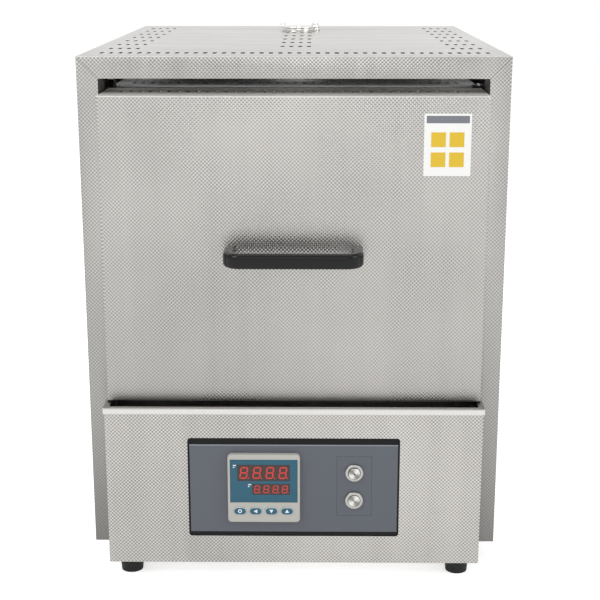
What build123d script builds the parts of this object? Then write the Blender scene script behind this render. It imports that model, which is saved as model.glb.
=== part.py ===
from build123d import *
from math import hypot
import os

os.makedirs("parts", exist_ok=True)

# Driving sizes in millimetres. The floor is Z = 0 and the front faces -Y.

# Outer casing and its front frame
casing_width = 415.0
casing_depth = 540.0
casing_top = 521.0
casing_sheet = 1.5
side_clearance = 22.0
frame_side = 20.5
frame_rail = 21.0
frame_return = 40.0
rear_flange = 14.0
fit_gap = 0.3

# Vent slots in the top of the casing
vent_width = 4.0
vent_length = 25.0
vent_first_row = 50.0
vent_side_inset = 17.5
vent_rear_margin = 58.0
vent_rows = 8
vent_front_columns = 42
vent_side_columns = 4
vent_centre_columns = 4
vent_centre_rows = 5
vent_centre_first = 145.0
vent_duct_gap = 7.7

# Base box that carries the furnace and the controls
foot_height = 18.0
foot_radius = 12.5
foot_taper = 1.5
foot_inset_x = 18.5
foot_inset_front = 24.0
foot_inset_rear = 26.0
foot_screw_radius = 2.5
foot_screw_head = 4.6
foot_screw_sink = 7.0
base_side_inset = 20.8
base_proud = 42.0
base_sheet = 0.8
bend_radius = 0.6
base_side_return = 25.0
lip_top = 183.0
lip_height = 6.0
lip_ledge = 4.5
lip_overhang = 1.3
lip_corner = 1.2
door_swing_gap = 0.4
trough_gap = 2.6
deck_sheet = 1.5
deck_flange = 10.0

# Flap door
door_side_gap = 1.5
door_top_gap = 14.0
door_rest_gap = 1.5
door_proud = 24.0
door_thickness = 78.0
door_sheet = 1.5
door_bevel = 20.0
door_edge_radius = 1.2
door_air_gap = 8.0
door_vent_width = 3.5
door_vent_length = 20.0
door_vent_margin = 18.1
door_vent_count = 37
door_vent_setback = 32.0
hinge_setback = 36.0
plug_clearance = 3.0
plug_length = 28.0
plug_taper = 16.0
plug_edge = 2.0
gasket_width = 11.0
gasket_thickness = 6.0

# Hinge
pin_radius = 5.0
pin_running_gap = 0.05
pin_hole_gap = 1.0
pin_inner_length = 18.0
bush_wall = 3.0
bush_flange = 2.0
hinge_plate_thickness = 6.0
hinge_plate_height = 60.0
hinge_block_size = 26.0
hinge_rivet_radius = 2.0
hinge_rivet_inset = 8.0

# Handle
handle_width = 134.0
handle_height = 14.6
handle_reach = 40.0
handle_bar = 11.0
handle_corner = 17.0
handle_edge = 4.0
handle_screw_radius = 2.5
handle_screw_head = 4.5
handle_screw_bite = 14.0

# Inner housing round the insulation
housing_gap = 24.0
housing_side_gap = 2.7
rear_space = 39.0
housing_sheet = 1.2
housing_hem = 2.0
housing_air_gap = 9.0
housing_vent_setback = 33.0
housing_vent_margin = 17.8

# Heated chamber
side_wall = 69.3
roof_wall = 65.75
rear_board = 50.3
collar_rim_side = 34.0
collar_rim_height = 26.0
tile_thickness = 12.0
tile_edge = 1.0
heater_plate = 16.0
groove_count = 6
groove_width = 9.0
groove_depth = 8.0
coil_radius = 3.0
coil_end_gap = 16.0
lead_reach = 14.0
lead_gap = 1.0
sheath_radius = 4.0
sheath_reach = 42.0
sheath_offset = 62.0
sheath_head = 22.0

# Exhaust duct and its swing cover
duct_inset = 19.5
duct_radius = 15.0
duct_wall = 3.0
duct_flange_radius = 20.0
duct_flange_height = 3.7
cover_radius = 23.0
cover_sheet = 1.5
cover_pivot_offset = 21.0
cover_ear_radius = 5.8
cover_boss_height = 2.0
cover_pivot_radius = 2.0
cover_screw_head = 3.6
cover_head_height = 1.6
eye_radius = 2.4
eye_wire = 0.6
cover_dome_radius = 3.2

# Catch at the left of the door and its sensor at the right
catch_sheet = 1.0
catch_width = 7.0
catch_side_gap = 3.7
catch_drop = 16.0
catch_rise = 9.0
catch_bend = 5.0
catch_gap = 4.0
sensor_inset = 5.6
sensor_width = 14.0
sensor_depth = 14.0
sensor_height = 20.0
sensor_tab = 1.2
magnet_width = 14.0
magnet_depth = 4.0

# Control panel
window_width = 210.4
window_bottom = 47.0
window_top = 151.6
window_corner = 3.0
backing_overlap = 6.0
backing_sheet = 1.5
fascia_side_margin = 1.8
fascia_bottom_margin = 5.0
fascia_top_margin = 6.6
fascia_sheet = 0.8
controller_x = -29.6
controller_z = 100.4
controller_size = 72.0
controller_bezel = 6.0
controller_corner = 4.0
controller_case_size = 67.0
controller_case_depth = 65.0
controller_case_edge = 1.0
face_width = 67.2
face_height = 45.6
face_top_margin = 4.9
face_depth = 1.4
upper_window_width = 52.0
upper_window_height = 17.1
upper_window_drop = 5.6
lower_window_width = 37.2
lower_window_height = 11.4
lower_window_rise = 8.3
window_right_margin = 7.7
window_depth = 0.9
key_width = 12.3
key_height = 7.5
key_drop = 23.4
key_pitch = 15.67
key_first = -23.9
key_proud = 1.1
key_length = 4.5
key_gap = 0.15
button_x = 60.3
button_upper_z = 115.9
button_lower_z = 86.6
button_ring_radius = 9.0
button_barrel_radius = 7.8
button_cap_radius = 6.2
button_gap = 0.15
button_ring_proud = 2.6
button_barrel_length = 32.0
button_bore_depth = 14.0
button_cap_length = 9.0
button_upper_proud = 2.2
button_lower_proud = 0.6
button_nut_radius = 11.0
button_nut_height = 4.0

# Electrical parts in the base and the cable entry
relay_width = 45.0
relay_length = 58.0
relay_height = 24.0
relay_x = 90.0
relay_rear_gap = 210.0
relay_edge = 2.0
sink_width = 70.0
sink_length = 80.0
sink_base = 5.0
sink_fin_height = 22.0
sink_fin = 2.0
sink_fins = 8
terminal_x = 0.0
terminal_rear_gap = 70.0
terminal_wall = 2.0
terminal_width = 74.0
terminal_depth = 24.0
terminal_height = 30.0
terminal_ways = 5
gland_x = 120.0
gland_z = 62.0
gland_bore = 5.5
gland_thread = 10.0
gland_flange = 13.5
gland_reach = 22.0
gland_inside = 12.0
gland_nut_height = 5.0
gland_dome_wall = 1.0
gland_flange_height = 7.0

# Rear panel
louvre_width = 90.0
louvre_rows = 7
louvre_pitch = 22.0
louvre_drop = 8.0
louvre_hood = 5.0
louvre_sheet = 1.2
louvre_column = 90.0
louvre_base = 300.0
panel_screw_radius = 2.0
panel_screw_head = 4.0
panel_screw_height = 2.2
panel_screw_rows = 4

# Places worked out from the sizes above
front = (door_proud + handle_reach - casing_depth - gland_reach) / 2
casing_rear = front + casing_depth
panel_front = casing_rear - casing_sheet
flange_front = panel_front - casing_sheet
opening_half = casing_width / 2 - frame_side
opening_top = casing_top - frame_rail
base_half = casing_width / 2 - base_side_inset
base_front = front - base_proud
tray_half = base_half - base_sheet - fit_gap / 2
tray_front = base_front + base_sheet + fit_gap / 2
door_half = opening_half - door_side_gap
door_bottom = lip_top + door_rest_gap
door_top = opening_top - door_top_gap
door_front = front - door_proud
door_rear = door_front + door_thickness
hinge_y = door_front + hinge_setback
hinge_z = lip_top + fit_gap + hinge_setback
corner_swing = hypot(hinge_setback, hinge_z - door_bottom)
deck_top = hinge_z - corner_swing - trough_gap
deck_bottom = deck_top - deck_sheet
handle_z = (door_bottom + door_top) / 2
housing_front = door_rear + housing_gap
housing_rear = casing_rear - rear_space
housing_depth = housing_rear - housing_front
housing_half = opening_half - housing_side_gap
housing_top = door_top
lining_half = housing_half - housing_sheet
lining_front = housing_front + housing_hem + housing_sheet + fit_gap
lining_rear = housing_rear - housing_sheet
lining_top = housing_top - housing_sheet - housing_air_gap
chamber_half = housing_half - side_wall
chamber_width = 2 * chamber_half
chamber_roof = housing_top - roof_wall
chamber_height = 2 * (chamber_roof - handle_z)
chamber_floor = chamber_roof - chamber_height
chamber_rear = lining_rear - rear_board
chamber_depth = chamber_rear - lining_front
collar_front = door_rear + gasket_thickness + fit_gap
tile_bottom = chamber_floor - tile_thickness
duct_y = chamber_rear - duct_inset
duct_outer = duct_radius + duct_wall
cover_bottom = casing_top + duct_flange_height + fit_gap
cover_top = cover_bottom + cover_sheet
backing_front = base_front + base_sheet
fascia_front = backing_front - fascia_sheet
bezel_front = fascia_front - controller_bezel
panel_screw_x = casing_width / 2 - rear_flange / 2 - casing_sheet / 2
panel_screw_low = side_clearance + 2 * panel_screw_head
panel_screw_high = casing_top - rear_flange / 2 - casing_sheet
panel_screw_pitch = (panel_screw_high - panel_screw_low) / (panel_screw_rows - 1)
tray_floor = foot_height + base_sheet
vent_pitch = (casing_width - 2 * vent_side_inset) / (vent_front_columns - 1)
vent_row_pitch = (casing_depth - vent_first_row - vent_rear_margin) / (vent_rows - 1)
vent_centre_last = duct_y - front - duct_outer - vent_duct_gap - vent_length / 2
vent_centre_pitch = (vent_centre_last - vent_centre_first) / (vent_centre_rows - 1)
door_vent_pitch = 2 * (door_half - door_vent_margin) / (door_vent_count - 1)
housing_vent_pitch = 2 * (housing_half - housing_vent_margin) / (door_vent_count - 1)
hinge_rivet_spacing = hinge_plate_height - 2 * hinge_rivet_inset
catch_outer = housing_half + catch_side_gap
tray_rear = panel_front


def front_view(depth):
    """A plane across the furnace at this depth, seen from the front: -extrude runs rearwards."""
    return Plane.XZ.offset(-depth)


def area(left, right, bottom, top, mode=Mode.ADD):
    """Sketch a rectangle by its four edges."""
    with Locations(((left + right) / 2, (bottom + top) / 2)):
        Rectangle(right - left, top - bottom, mode=mode)


# Outer casing: folded top and sides, a mitred front frame with returns, and rear flanges
with BuildPart() as outer_casing:
    with BuildSketch(front_view(front)):
        area(-casing_width / 2, casing_width / 2, side_clearance, casing_top)
        area(-opening_half, opening_half, side_clearance, opening_top, Mode.SUBTRACT)
    extrude(amount=-casing_sheet)
    with BuildSketch(front_view(front)):
        area(-casing_width / 2, casing_width / 2, side_clearance, casing_top)
        area(
            casing_sheet - casing_width / 2,
            casing_width / 2 - casing_sheet,
            side_clearance,
            casing_top - casing_sheet,
            Mode.SUBTRACT,
        )
    extrude(amount=-casing_depth)
    with BuildSketch(front_view(front)):
        area(
            -opening_half - casing_sheet,
            opening_half + casing_sheet,
            side_clearance,
            opening_top + casing_sheet,
        )
        area(-opening_half, opening_half, side_clearance, opening_top, Mode.SUBTRACT)
    extrude(amount=-frame_return)
    with BuildSketch(front_view(flange_front)):
        area(-casing_width / 2, casing_width / 2, side_clearance, casing_top)
        area(
            rear_flange - casing_width / 2,
            casing_width / 2 - rear_flange,
            side_clearance,
            casing_top - rear_flange,
            Mode.SUBTRACT,
        )
    extrude(amount=-casing_sheet)
    # Floor flange that turns in under each side towards the base
    with BuildSketch(Plane.XY.offset(side_clearance)):
        for side in (-1, 1):
            inner = side * (tray_half + fit_gap)
            outer = side * (casing_width / 2)
            area(min(inner, outer), max(inner, outer), front + frame_return, panel_front)
    extrude(amount=casing_sheet)
    # Vent slots
    with BuildSketch(Plane.XY.offset(casing_top)):
        with Locations((0, front + vent_first_row)):
            with GridLocations(vent_pitch, 1, vent_front_columns, 1):
                Rectangle(vent_width, vent_length)
        side_span = (vent_side_columns - 1) * vent_pitch
        side_centre = casing_width / 2 - vent_side_inset - side_span / 2
        row_span = (vent_rows - 1) * vent_row_pitch
        for side in (-1, 1):
            with Locations((side * side_centre, front + vent_first_row + vent_row_pitch + (row_span - vent_row_pitch) / 2)):
                with GridLocations(vent_pitch, vent_row_pitch, vent_side_columns, vent_rows - 1):
                    Rectangle(vent_width, vent_length)
        with Locations((0, front + (vent_centre_first + vent_centre_last) / 2)):
            with GridLocations(vent_pitch, vent_centre_pitch, vent_centre_columns, vent_centre_rows):
                Rectangle(vent_width, vent_length)
    extrude(amount=-casing_sheet, mode=Mode.SUBTRACT)
    # Holes for the exhaust duct and the hinge bushes
    with Locations((0, duct_y, casing_top)):
        Hole(duct_outer + fit_gap, depth=casing_sheet * 2)
    with BuildSketch(Plane.YZ):
        with Locations((hinge_y, hinge_z)):
            Circle(pin_radius + pin_hole_gap)
        with Locations((hinge_y, hinge_z)):
            with GridLocations(1, hinge_rivet_spacing, 1, 2):
                Circle(hinge_rivet_radius)
    extrude(amount=opening_half + casing_sheet, both=True, mode=Mode.SUBTRACT)
outer_casing.part.label = "outer_casing"
export_step(outer_casing.part, "parts/outer_casing.step")

# Rear panel: flat sheet with pressed louvres and the cable entry
with BuildPart() as rear_panel:
    with BuildSketch(front_view(panel_front)):
        area(
            casing_sheet + fit_gap - casing_width / 2,
            casing_width / 2 - casing_sheet - fit_gap,
            side_clearance,
            casing_top - casing_sheet - fit_gap,
        )
        with Locations((gland_x, gland_z)):
            Circle(gland_thread + fit_gap, mode=Mode.SUBTRACT)
    extrude(amount=-casing_sheet)
    louvre_span = (louvre_rows - 1) * louvre_pitch
    with BuildSketch(front_view(panel_front)):
        with Locations((0, louvre_base + louvre_span / 2 - louvre_drop / 2)):
            with GridLocations(louvre_column * 2, louvre_pitch, 2, louvre_rows):
                Rectangle(louvre_width, louvre_drop - louvre_sheet)
    extrude(amount=-casing_sheet, mode=Mode.SUBTRACT)
    for side in (-1, 1):
        for row in range(louvre_rows):
            hood_top = louvre_base + row * louvre_pitch + louvre_sheet
            plane = Plane.YZ.offset(side * louvre_column - louvre_width / 2)
            with BuildSketch(plane):
                Polygon(
                    (panel_front, hood_top),
                    (casing_rear, hood_top),
                    (casing_rear + louvre_hood, hood_top - louvre_drop),
                    (casing_rear + louvre_hood - louvre_sheet, hood_top - louvre_drop),
                    (casing_rear - louvre_sheet, hood_top - 2 * louvre_sheet),
                    (panel_front, hood_top - 2 * louvre_sheet),
                    align=None,
                )
            extrude(amount=louvre_width)
rear_panel.part.label = "rear_panel"
export_step(rear_panel.part, "parts/rear_panel.step")

# Base tray: floor, side walls and rear flange of the lower box
with BuildPart() as base_tray:
    with BuildSketch(front_view(tray_front)):
        area(-tray_half, tray_half, foot_height, deck_top)
        area(base_sheet - tray_half, tray_half - base_sheet, tray_floor, deck_top, Mode.SUBTRACT)
    extrude(amount=tray_front - tray_rear)
    with BuildSketch(front_view(tray_rear)):
        area(-tray_half, tray_half, foot_height, tray_floor + rear_flange)
    extrude(amount=base_sheet)
    foot_x = tray_half - foot_inset_x
    foot_front_y = base_front + foot_inset_front
    foot_rear_y = casing_rear - foot_inset_rear
    with Locations((0, (foot_front_y + foot_rear_y) / 2, foot_height)):
        with GridLocations(2 * foot_x, foot_rear_y - foot_front_y, 2, 2):
            Hole(foot_screw_radius, depth=base_sheet * 2)
base_tray.part.label = "base_tray"
export_step(base_tray.part, "parts/base_tray.step")

# Rubber feet: tapered bosses with a screw well in the underside
with BuildPart() as rubber_feet:
    with Locations((0, (foot_front_y + foot_rear_y) / 2, 0)):
        with GridLocations(2 * foot_x, foot_rear_y - foot_front_y, 2, 2):
            Cone(
                bottom_radius=foot_radius - foot_taper,
                top_radius=foot_radius,
                height=foot_height,
                align=(Align.CENTER, Align.CENTER, Align.MIN),
            )
            Hole(foot_screw_radius, depth=foot_height * 2)
            Hole(foot_screw_head + fit_gap, depth=foot_screw_sink)
rubber_feet.part.label = "rubber_feet"
export_step(rubber_feet.part, "parts/rubber_feet.step")

# Screws up through the feet into the tray
with BuildPart() as foot_screws:
    with Locations((0, (foot_front_y + foot_rear_y) / 2, foot_screw_sink)):
        with GridLocations(2 * foot_x, foot_rear_y - foot_front_y, 2, 2):
            Cylinder(
                foot_screw_head,
                foot_screw_radius,
                align=(Align.CENTER, Align.CENTER, Align.MAX),
            )
            Cylinder(
                foot_screw_radius,
                tray_floor + foot_screw_radius - foot_screw_sink,
                align=(Align.CENTER, Align.CENTER, Align.MIN),
            )
foot_screws.part.label = "foot_screws"
export_step(foot_screws.part, "parts/foot_screws.step")

# Front panel of the base: a sheet bent back at both sides, with the control window
with BuildPart() as front_panel:
    with BuildSketch(Plane.XY.offset(foot_height)):
        area(-base_half, base_half, base_front, front + base_side_return)
        area(
            base_sheet - base_half,
            base_half - base_sheet,
            base_front + base_sheet,
            front + base_side_return,
            Mode.SUBTRACT,
        )
    extrude(amount=lip_top - base_sheet - foot_height)
    with BuildSketch(front_view(base_front)):
        with Locations((0, (window_bottom + window_top) / 2)):
            RectangleRounded(window_width, window_top - window_bottom, window_corner)
    extrude(amount=-base_sheet, mode=Mode.SUBTRACT)
    bend_edges = front_panel.edges().filter_by(Axis.Z).group_by(Axis.Y)[0]
    fillet(bend_edges, bend_radius)
front_panel.part.label = "front_panel"
export_step(front_panel.part, "parts/front_panel.step")

# Lip: the bright folded rim round the top of the front panel, which the open door rests on.
# Its side ledges narrow behind the door's front face, where the door dips into the trough.
with BuildPart() as door_rest_lip:
    lip_outer_half = base_half + lip_overhang
    lip_outer_front = base_front - lip_overhang
    lip_rear = front - fit_gap
    with BuildSketch(Plane.XY.offset(lip_top)):
        area(-lip_outer_half, lip_outer_half, lip_outer_front, lip_rear)
        area(
            lip_ledge - base_half,
            base_half - lip_ledge,
            base_front + lip_ledge,
            lip_rear,
            Mode.SUBTRACT,
        )
        area(
            -door_half - door_swing_gap,
            door_half + door_swing_gap,
            door_front,
            lip_rear,
            Mode.SUBTRACT,
        )
    extrude(amount=-base_sheet)
    with BuildSketch(Plane.XY.offset(lip_top)):
        area(-lip_outer_half, lip_outer_half, lip_outer_front, lip_rear)
        area(-base_half, base_half, base_front, lip_rear, Mode.SUBTRACT)
    extrude(amount=-lip_height)
    outer_corners = door_rest_lip.edges().filter_by(Axis.Z).group_by(Axis.Y)[0]
    fillet(outer_corners, lip_corner)
door_rest_lip.part.label = "door_rest_lip"
export_step(door_rest_lip.part, "parts/door_rest_lip.step")

# Deck: the sheet between the controls and the hot half, which also floors the door trough
with BuildPart() as deck_plate:
    deck_half = tray_half - base_sheet - fit_gap / 2
    with BuildSketch(front_view(tray_front)):
        area(-deck_half, deck_half, deck_bottom - deck_flange, deck_top)
        area(
            deck_sheet - deck_half,
            deck_half - deck_sheet,
            deck_bottom - deck_flange,
            deck_bottom,
            Mode.SUBTRACT,
        )
    extrude(amount=tray_front - tray_rear)
deck_plate.part.label = "deck_plate"
export_step(deck_plate.part, "parts/deck_plate.step")

# Inner housing: folded top and sides with a rolled front edge and a row of slots
with BuildPart() as housing_shell:
    with BuildSketch(front_view(housing_front)):
        area(-housing_half, housing_half, deck_top, housing_top)
        area(
            housing_sheet - housing_half,
            housing_half - housing_sheet,
            deck_top,
            housing_top - housing_sheet,
            Mode.SUBTRACT,
        )
    extrude(amount=-housing_depth)
    with BuildSketch(front_view(housing_front)):
        area(-housing_half, housing_half, deck_top, housing_top)
        area(
            housing_hem - housing_half,
            housing_half - housing_hem,
            deck_top,
            housing_top - housing_hem,
            Mode.SUBTRACT,
        )
    extrude(amount=-housing_hem)
    with BuildSketch(Plane.XY.offset(housing_top)):
        with Locations((0, housing_front + housing_vent_setback)):
            with GridLocations(housing_vent_pitch, 1, door_vent_count, 1):
                Rectangle(door_vent_width, door_vent_length)
    extrude(amount=-housing_sheet, mode=Mode.SUBTRACT)
    with Locations((0, duct_y, housing_top)):
        Hole(duct_outer + fit_gap, depth=2 * housing_sheet)
housing_shell.part.label = "housing_shell"
export_step(housing_shell.part, "parts/housing_shell.step")

# Front plate of the housing, open round the chamber collar
collar_half = chamber_half + collar_rim_side
collar_bottom = chamber_floor - collar_rim_height
collar_top = chamber_roof + collar_rim_height
with BuildPart() as housing_front_plate:
    with BuildSketch(front_view(housing_front + housing_hem)):
        area(-lining_half, lining_half, deck_top, housing_top - housing_sheet)
        area(
            -collar_half - fit_gap,
            collar_half + fit_gap,
            collar_bottom - fit_gap,
            collar_top + fit_gap,
            Mode.SUBTRACT,
        )
    extrude(amount=-housing_sheet)
housing_front_plate.part.label = "housing_front_plate"
export_step(housing_front_plate.part, "parts/housing_front_plate.step")

# Rear plate of the housing, pierced for the element leads and the thermocouple
lead_half = chamber_half + groove_depth / 2
run_pitch = chamber_height / groove_count
run_span = (groove_count - 1) * run_pitch
with BuildPart() as housing_rear_plate:
    with BuildSketch(front_view(lining_rear)):
        area(-lining_half, lining_half, deck_top, housing_top - housing_sheet)
        with Locations((0, handle_z)):
            with GridLocations(2 * lead_half, run_span, 2, 2):
                Circle(coil_radius + lead_gap, mode=Mode.SUBTRACT)
        with Locations((sheath_offset, handle_z)):
            Circle(sheath_radius + fit_gap, mode=Mode.SUBTRACT)
    extrude(amount=-housing_sheet)
housing_rear_plate.part.label = "housing_rear_plate"
export_step(housing_rear_plate.part, "parts/housing_rear_plate.step")

# Insulation boards under the chamber and along both of its sides
with BuildPart() as insulation_boards:
    with BuildSketch(front_view(lining_front)):
        area(-lining_half, lining_half, deck_top, tile_bottom)
    extrude(amount=-chamber_depth)
    board_inner = chamber_half + heater_plate
    with BuildSketch(front_view(lining_front)):
        area(-lining_half, -board_inner, tile_bottom + fit_gap, chamber_roof)
        area(board_inner, lining_half, tile_bottom + fit_gap, chamber_roof)
    extrude(amount=-chamber_depth)
insulation_boards.part.label = "insulation_boards"
export_step(insulation_boards.part, "parts/insulation_boards.step")

# Insulation over the chamber, drilled for the exhaust duct
with BuildPart() as roof_insulation:
    with BuildSketch(front_view(lining_front)):
        area(-lining_half, lining_half, chamber_roof, lining_top)
    extrude(amount=-chamber_depth)
    with Locations((0, duct_y, lining_top)):
        Hole(duct_outer + fit_gap)
roof_insulation.part.label = "roof_insulation"
export_step(roof_insulation.part, "parts/roof_insulation.step")

# Insulation behind the chamber, drilled for the element leads and the thermocouple
with BuildPart() as rear_insulation:
    with BuildSketch(front_view(chamber_rear)):
        area(-lining_half, lining_half, deck_top, lining_top)
        with Locations((0, handle_z)):
            with GridLocations(2 * lead_half, run_span, 2, 2):
                Circle(coil_radius + fit_gap, mode=Mode.SUBTRACT)
        with Locations((sheath_offset, handle_z)):
            Circle(sheath_radius + fit_gap / 2, mode=Mode.SUBTRACT)
    extrude(amount=chamber_rear - lining_rear)
rear_insulation.part.label = "rear_insulation"
export_step(rear_insulation.part, "parts/rear_insulation.step")

# Chamber collar: the fibre frame that the door seals against
with BuildPart() as chamber_collar:
    with BuildSketch(front_view(collar_front)):
        area(-collar_half, collar_half, collar_bottom, collar_top)
        area(-chamber_half, chamber_half, chamber_floor, chamber_roof, Mode.SUBTRACT)
    extrude(amount=collar_front - lining_front)
chamber_collar.part.label = "chamber_collar"
export_step(chamber_collar.part, "parts/chamber_collar.step")

# Hearth tile on the chamber floor
with BuildPart() as floor_tile:
    with BuildSketch(front_view(lining_front)):
        area(-chamber_half, chamber_half, tile_bottom, chamber_floor)
    extrude(amount=-chamber_depth)
    tile_rim = floor_tile.faces().sort_by(Axis.Z)[-1].edges().filter_by(Axis.X)
    chamfer(tile_rim, tile_edge)
floor_tile.part.label = "floor_tile"
export_step(floor_tile.part, "parts/floor_tile.step")

# Heating plates: grooved ceramic slabs along both sides of the chamber
turn_front = lining_front + coil_end_gap + coil_radius
turn_rear = chamber_rear - coil_end_gap - coil_radius
pocket_margin = coil_radius + groove_width / 6
pocket_length = groove_width + coil_radius + pocket_margin
with BuildPart() as heating_plates:
    for side in (-1, 1):
        with BuildSketch(front_view(lining_front)):
            with Locations((side * (chamber_half + heater_plate / 2), (tile_bottom + chamber_roof) / 2)):
                Rectangle(heater_plate, chamber_roof - tile_bottom)
            with Locations((side * lead_half, handle_z)):
                with GridLocations(1, run_pitch, 1, groove_count):
                    Rectangle(groove_depth, groove_width, mode=Mode.SUBTRACT)
        extrude(amount=-chamber_depth)
    for pocket_start, pocket_height in (
        (turn_front - pocket_margin, run_span),
        (turn_rear + pocket_margin - pocket_length, run_span - 2 * run_pitch),
    ):
        with BuildSketch(front_view(pocket_start)):
            with Locations((-lead_half, handle_z), (lead_half, handle_z)):
                Rectangle(groove_depth, pocket_height)
        extrude(amount=-pocket_length, mode=Mode.SUBTRACT)
heating_plates.part.label = "heating_plates"
export_step(heating_plates.part, "parts/heating_plates.step")

# Heating elements: each runs to and fro in the grooves and leaves through the rear wall
with BuildPart() as heating_elements:
    lead_end = lining_rear + lead_reach
    first_run = handle_z - run_span / 2
    for side in (-1, 1):
        route = [(side * lead_half, lead_end, first_run)]
        for run in range(groove_count):
            height = first_run + run * run_pitch
            near, far = (turn_rear, turn_front) if run % 2 == 0 else (turn_front, turn_rear)
            if run > 0:
                route.append((side * lead_half, near, height))
            if run < groove_count - 1:
                route.append((side * lead_half, far, height))
        route.append((side * lead_half, lead_end, first_run + run_span))
        with BuildLine() as element_route:
            FilletPolyline(*route, radius=groove_width)
        with BuildSketch(front_view(lead_end)):
            with Locations((side * lead_half, first_run)):
                Circle(coil_radius)
        sweep(path=element_route.wires()[0])
heating_elements.part.label = "heating_elements"
export_step(heating_elements.part, "parts/heating_elements.step")

# Thermocouple: a ceramic sheath through the rear wall with a terminal head behind it
with BuildPart() as thermocouple:
    with BuildSketch(front_view(chamber_rear - sheath_reach)):
        with Locations((sheath_offset, handle_z)):
            Circle(sheath_radius)
    extrude(amount=chamber_rear - sheath_reach - housing_rear)
    tip = thermocouple.faces().sort_by(Axis.Y)[0].edges()
    fillet(tip, sheath_radius / 2)
    with BuildSketch(front_view(housing_rear)):
        with Locations((sheath_offset, handle_z)):
            RectangleRounded(sheath_head, sheath_head, sheath_radius)
    extrude(amount=-sheath_head)
thermocouple.part.label = "thermocouple"
export_step(thermocouple.part, "parts/thermocouple.step")

# Exhaust duct: a ceramic tube from the chamber roof up to the casing top
with BuildPart() as exhaust_duct:
    with BuildSketch(Plane.XY.offset(chamber_roof + fit_gap)):
        with Locations((0, duct_y)):
            Circle(duct_outer)
            Circle(duct_radius, mode=Mode.SUBTRACT)
    extrude(amount=casing_top - chamber_roof - 2 * fit_gap)
exhaust_duct.part.label = "exhaust_duct"
export_step(exhaust_duct.part, "parts/exhaust_duct.step")

# Flange round the duct on top of the casing, with an ear for the cover's pivot
with BuildPart() as exhaust_flange:
    with BuildSketch(Plane.XY.offset(casing_top)):
        with Locations((0, duct_y)):
            Circle(duct_flange_radius)
        with Locations((cover_pivot_offset, duct_y)):
            Circle(cover_ear_radius)
        with Locations((0, duct_y)):
            Circle(duct_radius, mode=Mode.SUBTRACT)
    extrude(amount=duct_flange_height)
exhaust_flange.part.label = "exhaust_flange"
export_step(exhaust_flange.part, "parts/exhaust_flange.step")

# Shoulder screw that the exhaust cover turns on
cover_boss_top = cover_top + cover_boss_height
with BuildPart() as cover_pivot:
    with Locations((cover_pivot_offset, duct_y, casing_top + duct_flange_height)):
        Cylinder(
            cover_pivot_radius,
            cover_boss_top + fit_gap - casing_top - duct_flange_height,
            align=(Align.CENTER, Align.CENTER, Align.MIN),
        )
    with Locations((cover_pivot_offset, duct_y, cover_boss_top + fit_gap)):
        Cylinder(
            cover_screw_head,
            cover_head_height,
            align=(Align.CENTER, Align.CENTER, Align.MIN),
        )
    chamfer(cover_pivot.faces().sort_by(Axis.Z)[-1].edges(), cover_head_height / 4)
cover_pivot.part.label = "cover_pivot"
export_step(cover_pivot.part, "parts/cover_pivot.step")

# Exhaust cover: a disc with a raised boss, swinging sideways off the duct
with BuildPart() as exhaust_cover:
    with BuildSketch(Plane.XY.offset(cover_bottom)):
        with Locations((0, duct_y)):
            Circle(cover_radius)
        with Locations((cover_pivot_offset, duct_y)):
            Circle(cover_ear_radius)
    extrude(amount=cover_sheet)
    with BuildSketch(Plane.XY.offset(cover_top)):
        with Locations((cover_pivot_offset, duct_y)):
            Circle(cover_ear_radius - cover_sheet / 2)
    extrude(amount=cover_boss_height)
    with Locations((cover_pivot_offset, duct_y, cover_boss_top)):
        Hole(cover_pivot_radius + pin_running_gap)
    with BuildSketch(Plane.XY.offset(cover_top)):
        with Locations((0, duct_y)):
            Circle(cover_dome_radius)
    extrude(amount=cover_sheet)
    dome_rim = exhaust_cover.edges().filter_by(GeomType.CIRCLE)
    dome_rim = dome_rim.filter_by(lambda edge: abs(edge.radius - cover_dome_radius) < 0.01)
    fillet(dome_rim.sort_by(Axis.Z)[-1], cover_sheet / 2)
exhaust_cover.part.label = "exhaust_cover"
export_step(exhaust_cover.part, "parts/exhaust_cover.step")

# Wire eye that the cover is pushed by, standing on its rim opposite the pivot
eye_z = cover_top + eye_radius + eye_wire
with BuildPart() as cover_eye:
    with BuildSketch(Plane.XY.offset(eye_z)):
        with Locations((eye_radius + eye_wire - cover_radius + eye_radius, duct_y)):
            Circle(eye_wire)
    eye_axis = Axis((eye_radius + eye_wire - cover_radius, duct_y, eye_z), (0, 1, 0))
    revolve(axis=eye_axis)
cover_eye.part.label = "cover_eye"
export_step(cover_eye.part, "parts/cover_eye.step")


def door_outline(inset, rear_shift=0.0, drop=0.0, mode=Mode.ADD):
    """Sketch the door's side view, with the lower rear edge bevelled to swing clear."""
    bevel = door_bevel - inset
    rear = door_rear - rear_shift
    low = door_bottom + inset
    high = door_top - inset - drop
    Polygon(
        (door_front + inset, low),
        (door_front + inset, high),
        (rear, high),
        (rear, low + bevel),
        (rear - bevel, low),
        mode=mode,
    )


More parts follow.
